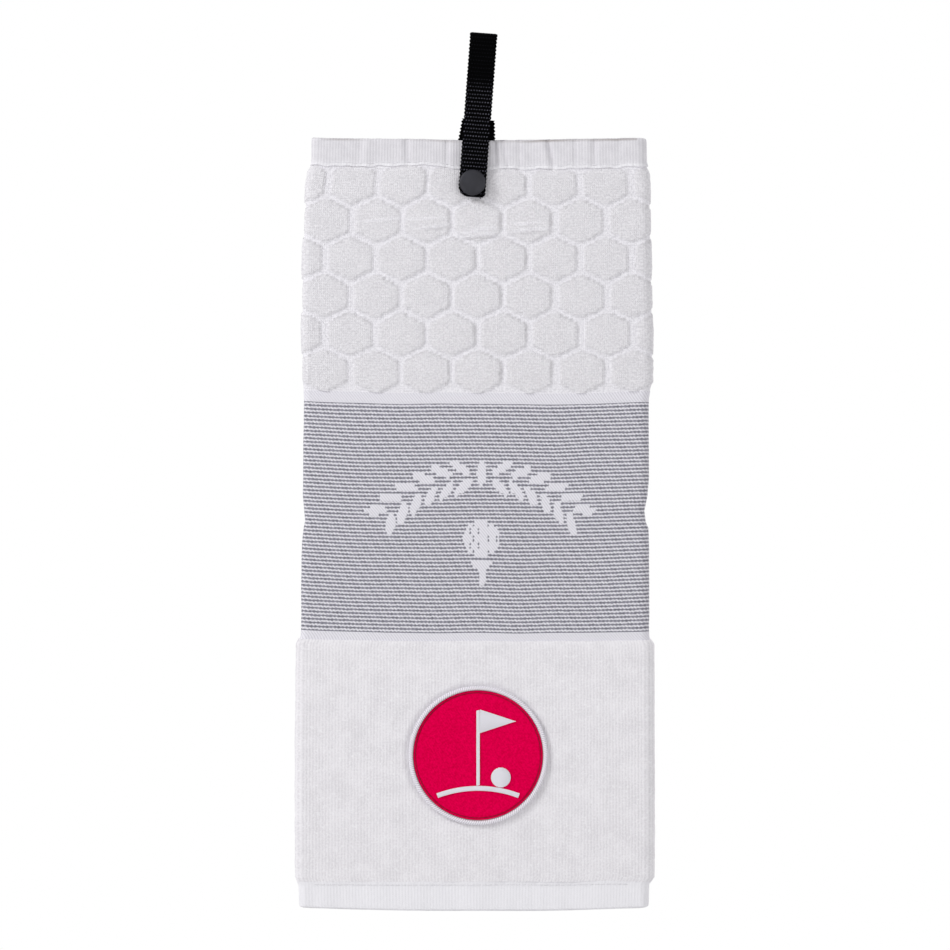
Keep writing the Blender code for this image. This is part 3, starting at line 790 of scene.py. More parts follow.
def hem_relief(across, up, marks):
    low, high = ZONES["top_hem"]
    rib = 0.03 * MM * np.cos(math.tau * across / HEM_RIB)
    slack = 0.16 * MM * grain(across, up * 0.2, 6 * MM, 51)
    relief = -0.30 * MM + rib + slack
    share = (up - low) / (high - low)
    at_top = step(up, low - 1e-6, low)
    for x, depth, width, lean in PUCKERS:
        line = hump(across - lean * MM * share, x * MM, width * MM)
        relief = relief - depth * PUCKER_DEPTH * line * at_top * (0.6 + 0.4 * share)
    ripple = 0.35 * MM * grain(across, up * 0.15, 13 * MM, 55)
    ripple = ripple + 0.2 * MM * grain(across, up * 0.3, 5 * MM, 56)
    relief = relief + ripple * (1 - at_top)
    # painted shade: a thin dark line just under the top edge of the front, between the layers
    fold_line = hump(high - up, 0.75 * MM, 0.42 * MM) * (across < LEFT_TURN + 12 * MM)
    patchy = np.clip(0.55 + 0.6 * grain(across, 0 * up, 19 * MM, 53), 0, 1)
    marks["painted_shade"] = fold_line * patchy * np.where(np.abs(across) < RIGHT_TURN, 1.0, 0.0)
    lip = hump(up, low + 0.5 * MM, 1.1 * MM) + hump(up, ZONES["bottom_hem"][1] - 0.4 * MM, 1.0 * MM)
    # painted highlight along the furry lip where the pile begins
    marks["lip"] = lip * np.clip(0.7 + 0.5 * grain(across, up, 1.3 * MM, 54), 0, 1)
    # painted light: the whole bottom hem is painted paler than the top hem
    marks["lip"] = np.maximum(marks["lip"], 0.85 * (1 - at_top))
    return relief + lip * (0.45 * MM + 0.30 * MM * grain(across, up, 1.4 * MM, 52))


RELIEF = {
    "bottom_hem": hem_relief,
    "velour": velour_relief,
    "band": band_relief,
    "honeycomb": honeycomb_relief,
    "top_hem": hem_relief,
}
print(len(PUCKERS), "puckers in the top hem")

# %% [markdown]
# ## Pressed places, and the whole surface
# `surface` puts it together: it takes points in the cloth's own directions, on the face or on the
# reverse, and gives their places. The side hem at each free edge is flat. The reverse has its own short
# loops. At a hem's edge and at a side hem the two faces round over to meet each other, because the edge
# is a fold of cloth and not a cut.

# %% Surface
patch_low, patch_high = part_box("patch_border")
PATCH_MIDDLE = (patch_low + patch_high) / 2
PATCH_RADIUS = (patch_high.x - patch_low.x) / 2
stud_low, stud_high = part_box("snap_stud")
SNAP = (stud_low + stud_high) / 2
EDGE_ROUND = 1.35 * MM
SIDE_HEM = 9 * MM
SIDE_HEM_RIB = 1.6 * MM
PATCH_LEVEL = -0.35 * MM
SNAP_LEVEL = -0.55 * MM


def pressed(across, up):
    """How much a point on the front is pressed flat by the patch or the snap, from 0 to 1."""
    x, z = across + MIDDLE, up + BOTTOM
    from_patch = np.hypot(x - PATCH_MIDDLE.x, z - PATCH_MIDDLE.z)
    patch = 1 - step(from_patch, PATCH_RADIUS - 0.6 * MM, PATCH_RADIUS + 2.2 * MM)
    snap = 1 - step(np.hypot(x - SNAP.x, z - SNAP.z), 5 * MM, 10 * MM)
    return patch, snap


def rounded(distance):
    """How far a face falls back this near to a folded edge."""
    t = np.clip(1 - distance / EDGE_ROUND, 0, 1)
    return EDGE_ROUND * (1 - np.sqrt(1 - t * t))


def surface(zone, across, up, face, marks):
    """Places of points on a zone. face is 1 on the towel's face and 0 on its reverse."""
    relief = RELIEF[zone](across, up, marks)
    edge = np.minimum(LEFT_END + across, RIGHT_END - across)
    flat = 1 - step(edge, SIDE_HEM, SIDE_HEM + 1.5 * MM)
    side_hem = -0.45 * MM + 0.05 * MM * np.cos(math.tau * across / SIDE_HEM_RIB)
    relief = relief * (1 - flat) + side_hem * flat
    if "cell" in marks:
        marks["cell"] = marks["cell"] * (1 - flat)
        marks["painted_shade"] = marks["painted_shade"] * (1 - flat)
    patch, snap = pressed(across, up)
    relief = relief * (1 - patch) + PATCH_LEVEL * patch
    relief = relief * (1 - snap) + SNAP_LEVEL * snap
    swell = 0.25 * MM * grain(across, up, 42 * MM, 61)
    back = -CLOTH + 0.15 * MM + 0.10 * MM * grain(across, up, 1.7 * MM, 62)
    fall = rounded(np.minimum(edge, np.minimum(up, TOP - BOTTOM - up)))
    out = np.where(face > 0.5, relief + swell - fall, np.minimum(back + fall, -CLOTH / 2))
    x, y = across_to_place(across, out)
    z = BOTTOM + up + wander(across, up, x)
    dip = np.where(y < FRONT + CLOTH + 0.2 * MM, 1.0, 0.0) * step(up, 385 * MM, TOP - BOTTOM)
    z = z - dip * top_dip(x)
    return drawn_in(x, up), y, z


def top_dip(x):
    """The front hem sags a little under the strap's pull, and shows the layer behind it."""
    return 0.3 * MM * (1 - step(x, 25 * MM, 45 * MM)) + 0.7 * MM * hump(x, MIDDLE + 2 * MM, 26 * MM)


print("the patch presses the pile flat over", round(2 * PATCH_RADIUS / MM, 1), "mm")

# %% [markdown]
# ## Making the cloth
# Each zone is made in five lengths: the front, the two folds and the two flaps. A fold has to bend
# between two bodies of the frame, so it is a piece of its own. Every piece starts as a grid, which is
# extruded to make a reverse and walls, so it is closed. Its points are then carried to their places.
# Grid lines are closest where the relief is finest.

# %% Strips and grid lines
FOLD_LAP = 3 * MM
STRIPS = {
    "front": (-(LEFT_TURN - FOLD_LAP), RIGHT_TURN - FOLD_LAP, 0.88 * MM),
    "left_fold": (-(LEFT_TURN + LEFT_BEND + FOLD_LAP), -(LEFT_TURN - FOLD_LAP), 0.62 * MM),
    "right_fold": (RIGHT_TURN - FOLD_LAP, RIGHT_TURN + RIGHT_BEND + FOLD_LAP, 0.72 * MM),
    "inner_flap": (-LEFT_END, -(LEFT_TURN + LEFT_BEND + FOLD_LAP), 1.6 * MM),
    "outer_flap": (RIGHT_TURN + RIGHT_BEND + FOLD_LAP, RIGHT_END, 0.92 * MM),
}
ROW_STEP = {"bottom_hem": 1.0, "velour": 1.05, "band": 0.66, "honeycomb": 0.88, "top_hem": 0.95}
ZONE_FINISH = {"bottom_hem": "hem", "velour": "velour", "band": "band", "honeycomb": "honeycomb",
               "top_hem": "hem"}
COARSE = 1.0


def samples(low, high, spacing, fine_low=False, fine_high=False):
    """Places of grid lines from low to high, with a few more at an end that is a rounded edge."""
    lines = list(np.linspace(low, high, max(2, round((high - low) / spacing)) + 1))
    extra = [0.12 * MM, 0.35 * MM, 0.65 * MM, 1.0 * MM]
    if fine_low:
        lines += [low + e for e in extra]
    if fine_high:
        lines += [high - e for e in extra]
    return np.unique(np.round(lines, 7))


for strip, (low, high, spacing) in STRIPS.items():
    print(strip, "is", round((high - low) / MM, 1), "mm wide, with lines", spacing / MM, "mm apart")

# %% [markdown]
# A slab is a flat grid that is extruded once, so that it has a face, a reverse and four walls and is
# closed. Its points are read into arrays, so that they can be moved all at once.

# %% A closed slab


def slab(name, columns, rows):
    """A closed slab of one grid cell per column and row. X and Y count them, and Z is 1 on the face."""
    bm = bmesh.new()
    bmesh.ops.create_grid(bm, x_segments=len(columns) - 1, y_segments=len(rows) - 1, size=0.5)
    raised = bmesh.ops.extrude_face_region(bm, geom=bm.faces[:])["geom"]
    face = [item for item in raised if isinstance(item, bmesh.types.BMVert)]
    bmesh.ops.translate(bm, verts=face, vec=(0, 0, 1))
    bmesh.ops.recalc_face_normals(bm, faces=bm.faces)
    return as_mesh(name, bm)


def coordinates(mesh):
    found = np.empty(len(mesh.vertices) * 3, np.float32)
    mesh.vertices.foreach_get("co", found)
    return found.reshape(-1, 3).astype(float)


def laid_out(name, columns, rows):
    """A slab, the place of each of its points on both sets of grid lines, and 1 on the face."""
    mesh = slab(name, columns, rows)
    at = coordinates(mesh)
    across = np.interp(at[:, 0] + 0.5, np.linspace(0, 1, len(columns)), columns)
    up = np.interp(at[:, 1] + 0.5, np.linspace(0, 1, len(rows)), rows)
    return mesh, across, up, at[:, 2]


trial = slab("trial", range(4), range(3))
print("a slab of 3 by 2 cells has", len(trial.polygons), "faces and", len(trial.vertices), "points")
bpy.data.meshes.remove(trial)

# %% [markdown]
# Once a slab's points have their places, they are written back. Each point's place in the weave is kept
# in a UV map, and what the finishes need to know is kept in attributes.

# %% From a slab to an object


def set_coordinates(mesh, x, y, z):
    mesh.vertices.foreach_set("co", np.stack([x, y, z], 1).astype(np.float32).ravel())
    mesh.update()


def corner_points(mesh):
    """The vertex at each corner of each face, four for every face of a slab."""
    corners = np.empty(len(mesh.loops), np.int32)
    mesh.loops.foreach_get("vertex_index", corners)
    return corners


def add_weave(mesh, across, up):
    """Keeps the cloth's own directions in a UV map, in metres."""
    corners = corner_points(mesh)
    layer = mesh.uv_layers.new(name="weave")
    layer.data.foreach_set("uv", np.stack([across[corners], up[corners]], 1).astype(np.float32).ravel())


def add_mark(mesh, name, values):
    mesh.attributes.new(name, "FLOAT", "POINT").data.foreach_set("value", values.astype(np.float32))


def woven_object(mesh, place, across, up, finishes, marks):
    """Puts a laid-out slab in its place, with its weave, marks and finishes, and makes an object."""
    set_coordinates(mesh, *place)
    add_weave(mesh, across, up)
    for mark, values in marks.items():
        add_mark(mesh, mark, values)
    for finish in finishes:
        mesh.materials.append(finish)
    mesh.shade_smooth()
    return add_object(mesh.name, mesh)


print("a slab's weave is kept in metres, as it was before the folds")

# %% [markdown]
# One piece of cloth is one zone of one strip. Its face takes the zone's finish and its reverse the
# short loops. It is held folded: the towel is carried with its folds in it, by the strap and by the
# fibres themselves.

# %% One piece of cloth
SHARP_EDGE = math.radians(70)


def cloth_piece(strip, zone):
    low, high, spacing = STRIPS[strip]
    columns = samples(low, high, spacing * COARSE, strip == "inner_flap", strip == "outer_flap")
    bottom, top = ZONES[zone]
    rows = samples(bottom, top, ROW_STEP[zone] * MM * COARSE, zone == "bottom_hem", zone == "top_hem")
    mesh, across, up, face = laid_out(f"{strip}_{zone}", columns, rows)
    marks = {}
    place = surface(zone, across, up, face, marks)
    finishes = (COTTON[ZONE_FINISH[zone]], COTTON["reverse"])
    piece = woven_object(mesh, place, across, up, finishes, marks)
    reverse = (face[corner_points(mesh)] < 0.5).reshape(-1, 4).all(1)
    mesh.polygons.foreach_set("material_index", reverse.astype(np.int32))
    mesh.set_sharp_from_angle(angle=SHARP_EDGE)
    return piece


print("a piece is named after its strip and its zone, such as front_velour")

# %% [markdown]
# The flat lengths ride on one body each. A fold lies between two, and is left on no body, where it
# was made. The three long honeycomb pieces stand in for the frame's plain layers, which are then no
# longer drawn.

# %% Cloth pieces


def joint(name):
    return next(j for j in frame["joints"] if j["name"] == name)


left_hinge = Vector(joint("left_fold")["pos_m"])
right_hinge = Vector(joint("right_fold")["pos_m"])
cloth_triangles = 0
for strip in STRIPS:
    for zone in ZONES:
        piece = cloth_piece(strip, zone)
        cloth_triangles += 2 * len(piece.data.polygons)
        if strip == "left_fold":
            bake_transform(piece)
        elif strip == "right_fold":
            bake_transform(piece)
        else:
            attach(piece, {"front": "towel"}.get(strip, strip))
        if strip == "front" and zone == "honeycomb":
            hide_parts("centre_panel")
        if strip == "inner_flap" and zone == "honeycomb":
            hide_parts("left_flap")
        if strip == "outer_flap" and zone == "honeycomb":
            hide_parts("right_flap")
print("cloth:", cloth_triangles, "triangles in", len(STRIPS) * len(ZONES), "pieces")

# %% [markdown]
# ## Thread
# Every stitch is the same small shape: a ball drawn out to a rod with round ends, laid from one point
# to another. A hem has a row of lock stitches a few millimetres long, half sunk in the cloth. They
# follow the cloth's surface, so they are placed by the same function as the cloth itself.

# %% Thread shapes


def add_thread(bm, start, end, radius, flat=1.0, sides=6):
    """A rod with round ends from start to end. flat below 1 makes it thinner front to back."""
    made = bmesh.ops.create_uvsphere(bm, u_segments=sides, v_segments=6, radius=radius)["verts"]
    along = Vector(end) - Vector(start)
    for v in made:
        v.co.z += math.copysign(along.length / 2, v.co.z) if abs(v.co.z) > 1e-7 else 0
    turn = along.to_track_quat("Z", "Y").to_matrix().to_4x4()
    middle = (Vector(start) + Vector(end)) / 2
    bmesh.ops.transform(bm, verts=made, matrix=Matrix.Diagonal((1, flat, 1, 1)) @ turn)
    bmesh.ops.translate(bm, verts=made, vec=middle)


def finished(name, bm, finish):
    """Turns a bmesh into an object with this finish, faces outward."""
    bmesh.ops.recalc_face_normals(bm, faces=bm.faces)
    mesh = as_mesh(name, bm)
    mesh.materials.append(finish)
    mesh.shade_smooth()
    return add_object(name, mesh)


trial = bmesh.new()
add_thread(trial, (0, 0, 0), (0, 0, 1), 0.1)
print("one thread has", len(trial.faces), "faces")
trial.free()

# %% [markdown]
# Thread is twisted from finer strands, so its finish is a set of fine slanting lines with some fuzz.
# The four colours differ in tone and in how much they shine: satin thread shines most.

# %% Thread finishes


def thread_finish(name, dark, pale, roughness, twist=0.0006):
    """Twisted thread: fine slanting lines that catch a little light."""
    f = Finish(name, roughness, Specular_IOR_Level=0.3)
    place = f.place()
    parts = f.split(place)
    slant = f.maths("ADD", parts[0], f.scaled(parts[2], 0.7))
    ply = f.wave(slant, twist)
    fuzz = f.noise(place, 2200, 2)
    f.colour(f.mix(f.scaled(ply, 0.5, f.scaled(fuzz, 0.5)), dark, pale))
    f.bump(f.maths("ADD", ply, fuzz), 0.0001, 0.5)
    return f.material


HEM_THREAD = thread_finish("hem_thread", (0.70, 0.69, 0.72, 1), (0.84, 0.83, 0.87, 1), 0.8)
BLACK_THREAD = thread_finish("black_thread", (0.002, 0.002, 0.003, 1), (0.012, 0.012, 0.015, 1), 0.6)
SATIN_THREAD = thread_finish("satin_thread", (0.78, 0.76, 0.83, 1), (0.95, 0.94, 0.98, 1), 0.42)
# painted shade: the crimson thread is much darker than the twill, for the shade of its groove
CRIMSON_THREAD = thread_finish("crimson_thread", (0.13, 0.0, 0.006, 1), (0.30, 0.0, 0.02, 1), 0.7)
print("threads:", ", ".join(t.name for t in (HEM_THREAD, BLACK_THREAD, SATIN_THREAD, CRIMSON_THREAD)))

# %% [markdown]
# Each hem is held by one row of lock stitches, a little inside the edge of its doubled cloth. The row
# is split where the bodies change, and the folds have none, so that no stitch is stretched when the
# towel opens. `on_cloth` asks the cloth's own function where the surface is, so the thread lies on it.

# %% Hem stitches
STITCH = 2.3 * MM
STITCH_PITCH = 3.0 * MM
HEM_ROWS = {"top_hem": ZONES["top_hem"][0] + 1.7 * MM, "bottom_hem": ZONES["bottom_hem"][1] - 1.5 * MM}


def on_cloth(zone, across, up, lift):
    """A point this far out of the cloth's face."""
    spot = [np.array([v]) for v in (across, up, 1.0)]
    x, y, z = (float(v[0]) for v in surface(zone, *spot, {}))
    sign = -1 if y < FRONT + CLOTH else 1
    return Vector((x, y + sign * lift, z))


def stitch_row(bm, zone, start, end):
    """Lock stitches from one point of the cloth to another, each (across, up)."""
    length = math.dist(start, end)
    for n in range(int(length // STITCH_PITCH)):
        ends = []
        for along in (n * STITCH_PITCH, n * STITCH_PITCH + STITCH):
            share = along / length
            across = start[0] + (end[0] - start[0]) * share
            up = start[1] + (end[1] - start[1]) * share
            ends.append(on_cloth(zone, across, up, 0.02 * MM))
        add_thread(bm, *ends, 0.2 * MM)


left_edge = -LEFT_END + 1.5 * MM
right_edge = RIGHT_END - 1.5 * MM
flat_left = LEFT_TURN + LEFT_BEND + FOLD_LAP
flat_right = RIGHT_TURN + RIGHT_BEND + FOLD_LAP
for zone, up in HEM_ROWS.items():
    for body, low, high in (
        ("towel", -LEFT_TURN + 5 * MM, RIGHT_TURN - 5 * MM),
        ("inner_flap", left_edge, -flat_left),
        ("outer_flap", flat_right, right_edge),
    ):
        bm = bmesh.new()
        stitch_row(bm, zone, (low, up), (high, up))
        row = finished(f"{body}_{zone}_stitches", bm, HEM_THREAD)
        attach(row, body)
        if body == "towel":
            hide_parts(f"{zone}_stitching")
print("hem stitches every", STITCH_PITCH / MM, "mm")

# %% [markdown]
# The two cut edges of the cloth, at the ends of the flaps, are turned in and sewn as well, from top to
# bottom through every zone.

# %% Side hem stitches
SIDE_ROW = SIDE_HEM - 1.2 * MM
ROW_GAP = 0.4 * MM
for body, across in (("inner_flap", -LEFT_END + SIDE_ROW), ("outer_flap", RIGHT_END - SIDE_ROW)):
    bm = bmesh.new()
    for zone, (low, high) in ZONES.items():
        stitch_row(bm, zone, (across, low + ROW_GAP), (across, high - ROW_GAP))
    row = finished(f"{body}_side_stitches", bm, HEM_THREAD)
    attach(row, body)
print("side hems are sewn", round(SIDE_ROW / MM, 1), "mm from the free edges")

# %% [markdown]
# ## The webbing loop
# The loop is a ribbed nylon webbing. Each rib is a weft cord that the warp floats over, a dozen floats
# to a rib and shifted by half a float in the next one, and each rib shows at the edges as a tooth. The
# loop leans a little, so it is built upright and turned at the end. Its front end is cut round, to
# follow the snap.

# %% Webbing finish and shape
RIB = 2.0 * MM
FLOATS = 10


def webbing_finish(name, shine_from):
    """Black nylon. The floats catch light only below shine_from, where the webbing isn't in shade."""
    f = Finish(name, 0.7, Specular_IOR_Level=0.025)
    weave, across, along = f.woven()
    float_mark = f.attribute("float")
    fuzz = f.noise(weave, 1500, 3, 0.6)
    lit = f.ramp(along, shine_from - 0.004, shine_from + 0.006, 1.0, 0.06)
    shine = f.scaled(f.scaled(float_mark, lit), f.ramp(fuzz, 0.3, 0.6))
    f.colour(f.mix(shine, (0.0004, 0.0004, 0.0006, 1), (0.14, 0.14, 0.175, 1)))
    f.rough(f.scaled(shine, -0.1, 0.75))
    f.bump(fuzz, 0.0001, 0.4)
    return f.material


def web_surface(cross, along, half_width, thickness, face, marks):
    """Height out of the middle plane, and the place across, with ribs, floats and toothed edges."""
    rib = np.cos(math.tau * along / RIB)
    line = np.floor(along / RIB + 0.5)
    share = cross / half_width
    floats = np.cos(math.tau * (share * FLOATS / 2 + 0.5 * line)) * 0.5 + 0.5
    ridge = np.clip(rib, -0.2, 1)
    side = 1 - step(np.abs(share), 0.88, 1.0)
    bump = (0.13 * MM * ridge + 0.05 * MM * floats * np.clip(rib, 0, 1)) * (0.35 + 0.65 * side)
    half = thickness / 2 - 0.14 * MM + bump - 0.30 * MM * (1 - side)
    marks["float"] = step(rib, 0.45, 0.95) * step(floats, 0.5, 0.95) * side
    tooth = 0.22 * MM * rib * step(np.abs(share), 0.8, 1.0)
    sign = np.where(face > 0.5, 1.0, -1.0)
    return sign * half, cross + np.sign(cross) * tooth


WEBBING = webbing_finish("ribbed_webbing", 58 * MM)
print("the webbing has a rib every", RIB / MM, "mm and", FLOATS, "floats to a rib")

# %% [markdown]
# The strap is one length of webbing, followed from its front end, up, over the loop's top and down the
# back. The front part is the one that opens with the snap. It is made in two pieces that are left on
# no body: the strap, and its tail just above the tab, where the webbing gives when the towel swings.

# %% Strap
rear_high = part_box("strap_rear")[1]
hinge = joint("strap_open")
LEAN = math.atan2(abs(hinge["axis"][2]), abs(hinge["axis"][0]))
ALONG_STRAP = Matrix.Rotation(LEAN, 4, "Y")
WEB = 1.4 * MM
WEB_HALF = 7.1 * MM
LOOP_MIDDLE = rear_high.y - WEB / 2
LOOP_DROP = 3 * MM
FRONT_RUN = 82.8 * MM
TOP_BEND = math.pi * LOOP_MIDDLE
TAIL_START = FRONT_RUN + TOP_BEND + 29 * MM
TAIL_END = FRONT_RUN + TOP_BEND + 41.0 * MM
END_ROUND = 5.2 * MM


def strap_place(along, out, cross):
    """Upright place of a point this far from the front end and this far out of the middle plane."""
    bend = np.clip((along - FRONT_RUN) / TOP_BEND, 0, 1) * math.pi
    radius = LOOP_MIDDLE + out
    y = -radius * np.cos(bend)
    z = -LOOP_DROP + radius * np.sin(bend)
    z = np.where(along < FRONT_RUN, along - FRONT_RUN - LOOP_DROP, z)
    z = np.where(along > FRONT_RUN + TOP_BEND, FRONT_RUN + TOP_BEND - LOOP_DROP - along, z)
    return cross, y, z


def leaning(x, y, z):
    return x * math.cos(LEAN) + z * math.sin(LEAN), y, -x * math.sin(LEAN) + z * math.cos(LEAN)


def web_piece(name, low, high, finish, round_end=False):
    rows = samples(low, high, 0.30 * MM * COARSE)
    columns = samples(-WEB_HALF, WEB_HALF, 0.29 * MM * COARSE)
    mesh, cross, along, face = laid_out(name, columns, rows)
    marks = {}
    out, wide = web_surface(cross, along, WEB_HALF, WEB, face, marks)
    if round_end:
        corner = np.where(cross > 0, 0.5 * END_ROUND, END_ROUND)
        short = np.clip(corner - along, 0, corner)
        cut = corner - np.sqrt(corner**2 - short**2)
        wide = wide * (WEB_HALF - cut) / WEB_HALF
    piece = woven_object(mesh, leaning(*strap_place(along, out, wide)), cross, along, [finish], marks)
    return piece


strap = web_piece("strap", 0, TAIL_START, WEBBING, round_end=True)
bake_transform(strap)
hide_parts("strap_front")
tail = web_piece("strap_tail", TAIL_START, TAIL_END, WEBBING)
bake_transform(tail)
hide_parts("strap_rear")
print("the webbing is", round(TAIL_END / MM), "mm long round the loop")

# %% [markdown]
# The webbing ends in a tab that is wider than the loop and sewn behind the top hem. It spreads towards
# its foot, and its teeth are coarser because the edge is folded.

# %% Anchor tab
TAB = (-43.9 * MM, -66.2 * MM)
TAB_HALF = (8.5 * MM, 10.9 * MM)
TAB_SHIFT = 0.5 * MM
TAB_MIDDLE = 3.6 * MM
rows = samples(TAB[1], TAB[0], 0.32 * MM * COARSE)
columns = samples(-1, 1, 0.036 * COARSE)
mesh, share, height, face = laid_out("anchor_tab_webbing", columns, rows)
half = np.interp(height, [TAB[1], TAB[0]], [TAB_HALF[1], TAB_HALF[0]])
marks = {}
out, wide = web_surface(share * WEB_HALF, height, WEB_HALF, 1.2 * MM, face, marks)
tooth = 0.35 * MM * np.cos(math.tau * height / (1.9 * MM)) * step(np.abs(share), 0.8, 1.0)
x = share * half + np.sign(share) * tooth
place = leaning(x + TAB_SHIFT, TAB_MIDDLE - 0.8 * out, height)
marks["float"] *= 0
tab = woven_object(mesh, place, share * half, height - 1, [WEBBING], marks)
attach(tab, "towel")
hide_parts("anchor_tab")
print("the tab is", round(2 * TAB_HALF[1] / MM, 1), "mm wide at its foot")

# %% [markdown]
# A bar tack holds the tab: a close zigzag of black thread, right across it, that leans with the loop.

# %% Bar tack
TACKS = 26
bm = bmesh.new()
tack_low, tack_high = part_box("anchor_stitching")
tack_y = (tack_low.y + tack_high.y) / 2
for n in range(TACKS):
    x = tack_low.x + 0.5 * MM + (tack_high.x - tack_low.x - 1.0 * MM) * (n + 0.5) / TACKS
    z = (tack_low.z + tack_high.z) / 2 - (x + 4.5 * MM) * math.tan(LEAN)
    slant = 0.25 * MM if n % 2 else -0.25 * MM
    add_thread(bm, (x - slant, tack_y, z - 0.7 * MM), (x + slant, tack_y, z + 0.7 * MM), 0.24 * MM, 0.6)
tack = finished("bar_tack", bm, BLACK_THREAD)
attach(tack, "towel")
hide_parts("anchor_stitching")
print("the bar tack has", TACKS, "stitches")

# %% [markdown]
# Webbing is cut with a hot knife, which seals its end, but a few warp ends at one corner have got away.
# They are short bits of the black thread, set at random with a fixed seed, and turned with the strap.

# %% Frayed corner
FRAYED_ENDS = 9
bm = bmesh.new()
rng = np.random.default_rng(5)
for n in range(FRAYED_ENDS):
    depth = -3.7 * MM + rng.uniform(-0.3, 0.3) * MM
    root = Vector((4.2 * MM + 0.30 * MM * n, depth, -85.6 * MM + 0.20 * MM * n))
    reach = Vector((rng.uniform(0.1, 0.7), rng.uniform(-0.2, 0.1), rng.uniform(-1.0, -0.5))) * MM
    add_thread(bm, root, root + reach, 0.16 * MM)
bmesh.ops.transform(bm, verts=bm.verts, matrix=ALONG_STRAP)
fray = finished("frayed_end", bm, BLACK_THREAD)
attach(fray, "loop_front")
print(FRAYED_ENDS, "cut warp ends show at the strap's corner")

# %% [markdown]
# ## The snap
# A ring-less plastic snap: a domed cap whose post goes through the webbing into a socket, and a stud
# on the cloth whose own post is held by a cap behind. The cap is the piece that shows. It is turned
# from a profile, very slightly domed, with a rounded rim. The other three keep the frame's shape and
# take the same moulded finish.

# %% Moulded plastic


def moulded_finish(name, dark, pale):
    """Matte moulded plastic: a fine spark-eroded grain, and a slow change in tone."""
    f = Finish(name, 0.5, Specular_IOR_Level=0.45)
    place = f.place()
    grain_noise = f.noise(place, 3200, 2)
    drift = f.noise(place, 160, 1)
    tone = f.scaled(grain_noise, 0.35, f.scaled(drift, 0.65))
    f.colour(f.mix(f.ramp(tone, 0.3, 0.7), dark, pale))
    f.rough(f.scaled(grain_noise, 0.15, 0.42))
    f.bump(grain_noise, 0.00004, 0.6)
    return f.material


def refinish(name, finish):
    """Gives this finish to a node of the frame, whose shape stays."""
    materials = frame["nodes"][name].data.materials
    materials.clear()
    materials.append(finish)


PLASTIC = moulded_finish("moulded_snap", (0.010, 0.010, 0.016, 1), (0.022, 0.022, 0.031, 1))
print("the snap's four parts share the finish", PLASTIC.name)

# %% [markdown]
# The cap is half of its own outline, spun round the y axis. The outline runs from the middle of the
# dome, round the rim and down the post. `spun` is kept as a helper, because the patch's border is made
# in the same way.

# %% Snap cap


def spun(bm, outline, steps):
    """Turns an outline round the y axis into a closed shape."""
    bmesh.ops.spin(bm, geom=outline, cent=(0, 0, 0), axis=(0, 1, 0), angle=math.tau, steps=steps,
                   use_merge=True)


CAP_RADIUS = 6.8 * MM
CAP_BACK = -4.65 * MM
CAP_FRONT = -6.65 * MM
RIM = 0.8 * MM
CAP_STEPS = 72
POST_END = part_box("snap_cap")[1].y
POST_RADIUS = 0.9 * MM
profile = [(0, CAP_FRONT + 0.02 * MM), (3.2 * MM, CAP_FRONT + 0.07 * MM)]
profile.append((5.2 * MM, CAP_FRONT + 0.2 * MM))
for n in range(7):
    angle = math.radians(80 - 80 * n / 6)
    reach = CAP_RADIUS - RIM + RIM * math.cos(angle)
    profile.append((reach, CAP_FRONT + 1.05 * MM - RIM * math.sin(angle)))
profile += [(CAP_RADIUS, CAP_BACK - 0.15 * MM), (CAP_RADIUS - 0.15 * MM, CAP_BACK)]
profile += [(POST_RADIUS, CAP_BACK), (POST_RADIUS, POST_END), (0, POST_END)]
bm = bmesh.new()
line = [bm.verts.new((r, y, 0)) for r, y in profile]
edges = [bm.edges.new(pair) for pair in zip(line, line[1:])]
spun(bm, line + edges, CAP_STEPS)
bmesh.ops.remove_doubles(bm, verts=bm.verts, dist=1e-6)
bmesh.ops.translate(bm, verts=bm.verts, vec=(SNAP.x, 0, SNAP.z))
cap = finished("snap_cap_moulded", bm, PLASTIC)
cap.data.set_sharp_from_angle(angle=math.radians(40))
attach(cap, "loop_front")
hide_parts("snap_cap")
for name in ("snap_socket", "snap_stud", "snap_back_cap"):
    refinish(name, PLASTIC)
print("snap cap", round(2 * CAP_RADIUS / MM, 1), "mm across")

# %% [markdown]
# ## The patch
# The patch is a disc of twill with a merrowed edge: an overlock machine winds thread round and round
# the rim, so the border is a cord of slanting stitches. It is sewn down just inside the border with
# crimson thread, which sinks a groove into the twill. Its emblem is satin stitch, which is nothing but
# threads side by side: a flag on its pin, a ball, and the edge of a green.

# %% Twill disc


def twill_finish():
    f = Finish("crimson_twill", 0.9, Specular_IOR_Level=0.0, IOR=1.0)
    place = f.place()
    parts = f.split(place)
    diagonal = f.maths("ADD", parts[0], f.scaled(parts[2], 1.2))
    wale = f.wave(diagonal, 0.00085)
    mottle = f.noise(place, 850, 3, 0.65)
    tone = f.scaled(wale, 0.35, f.scaled(mottle, 0.8))
    f.colour(f.mix(f.ramp(tone, 0.3, 0.85), (0.60, 0.0, 0.040, 1), (0.96, 0.0, 0.095, 1)))
    f.bump(f.scaled(wale, 0.6, mottle), 0.0002, 0.6)
    return f.material


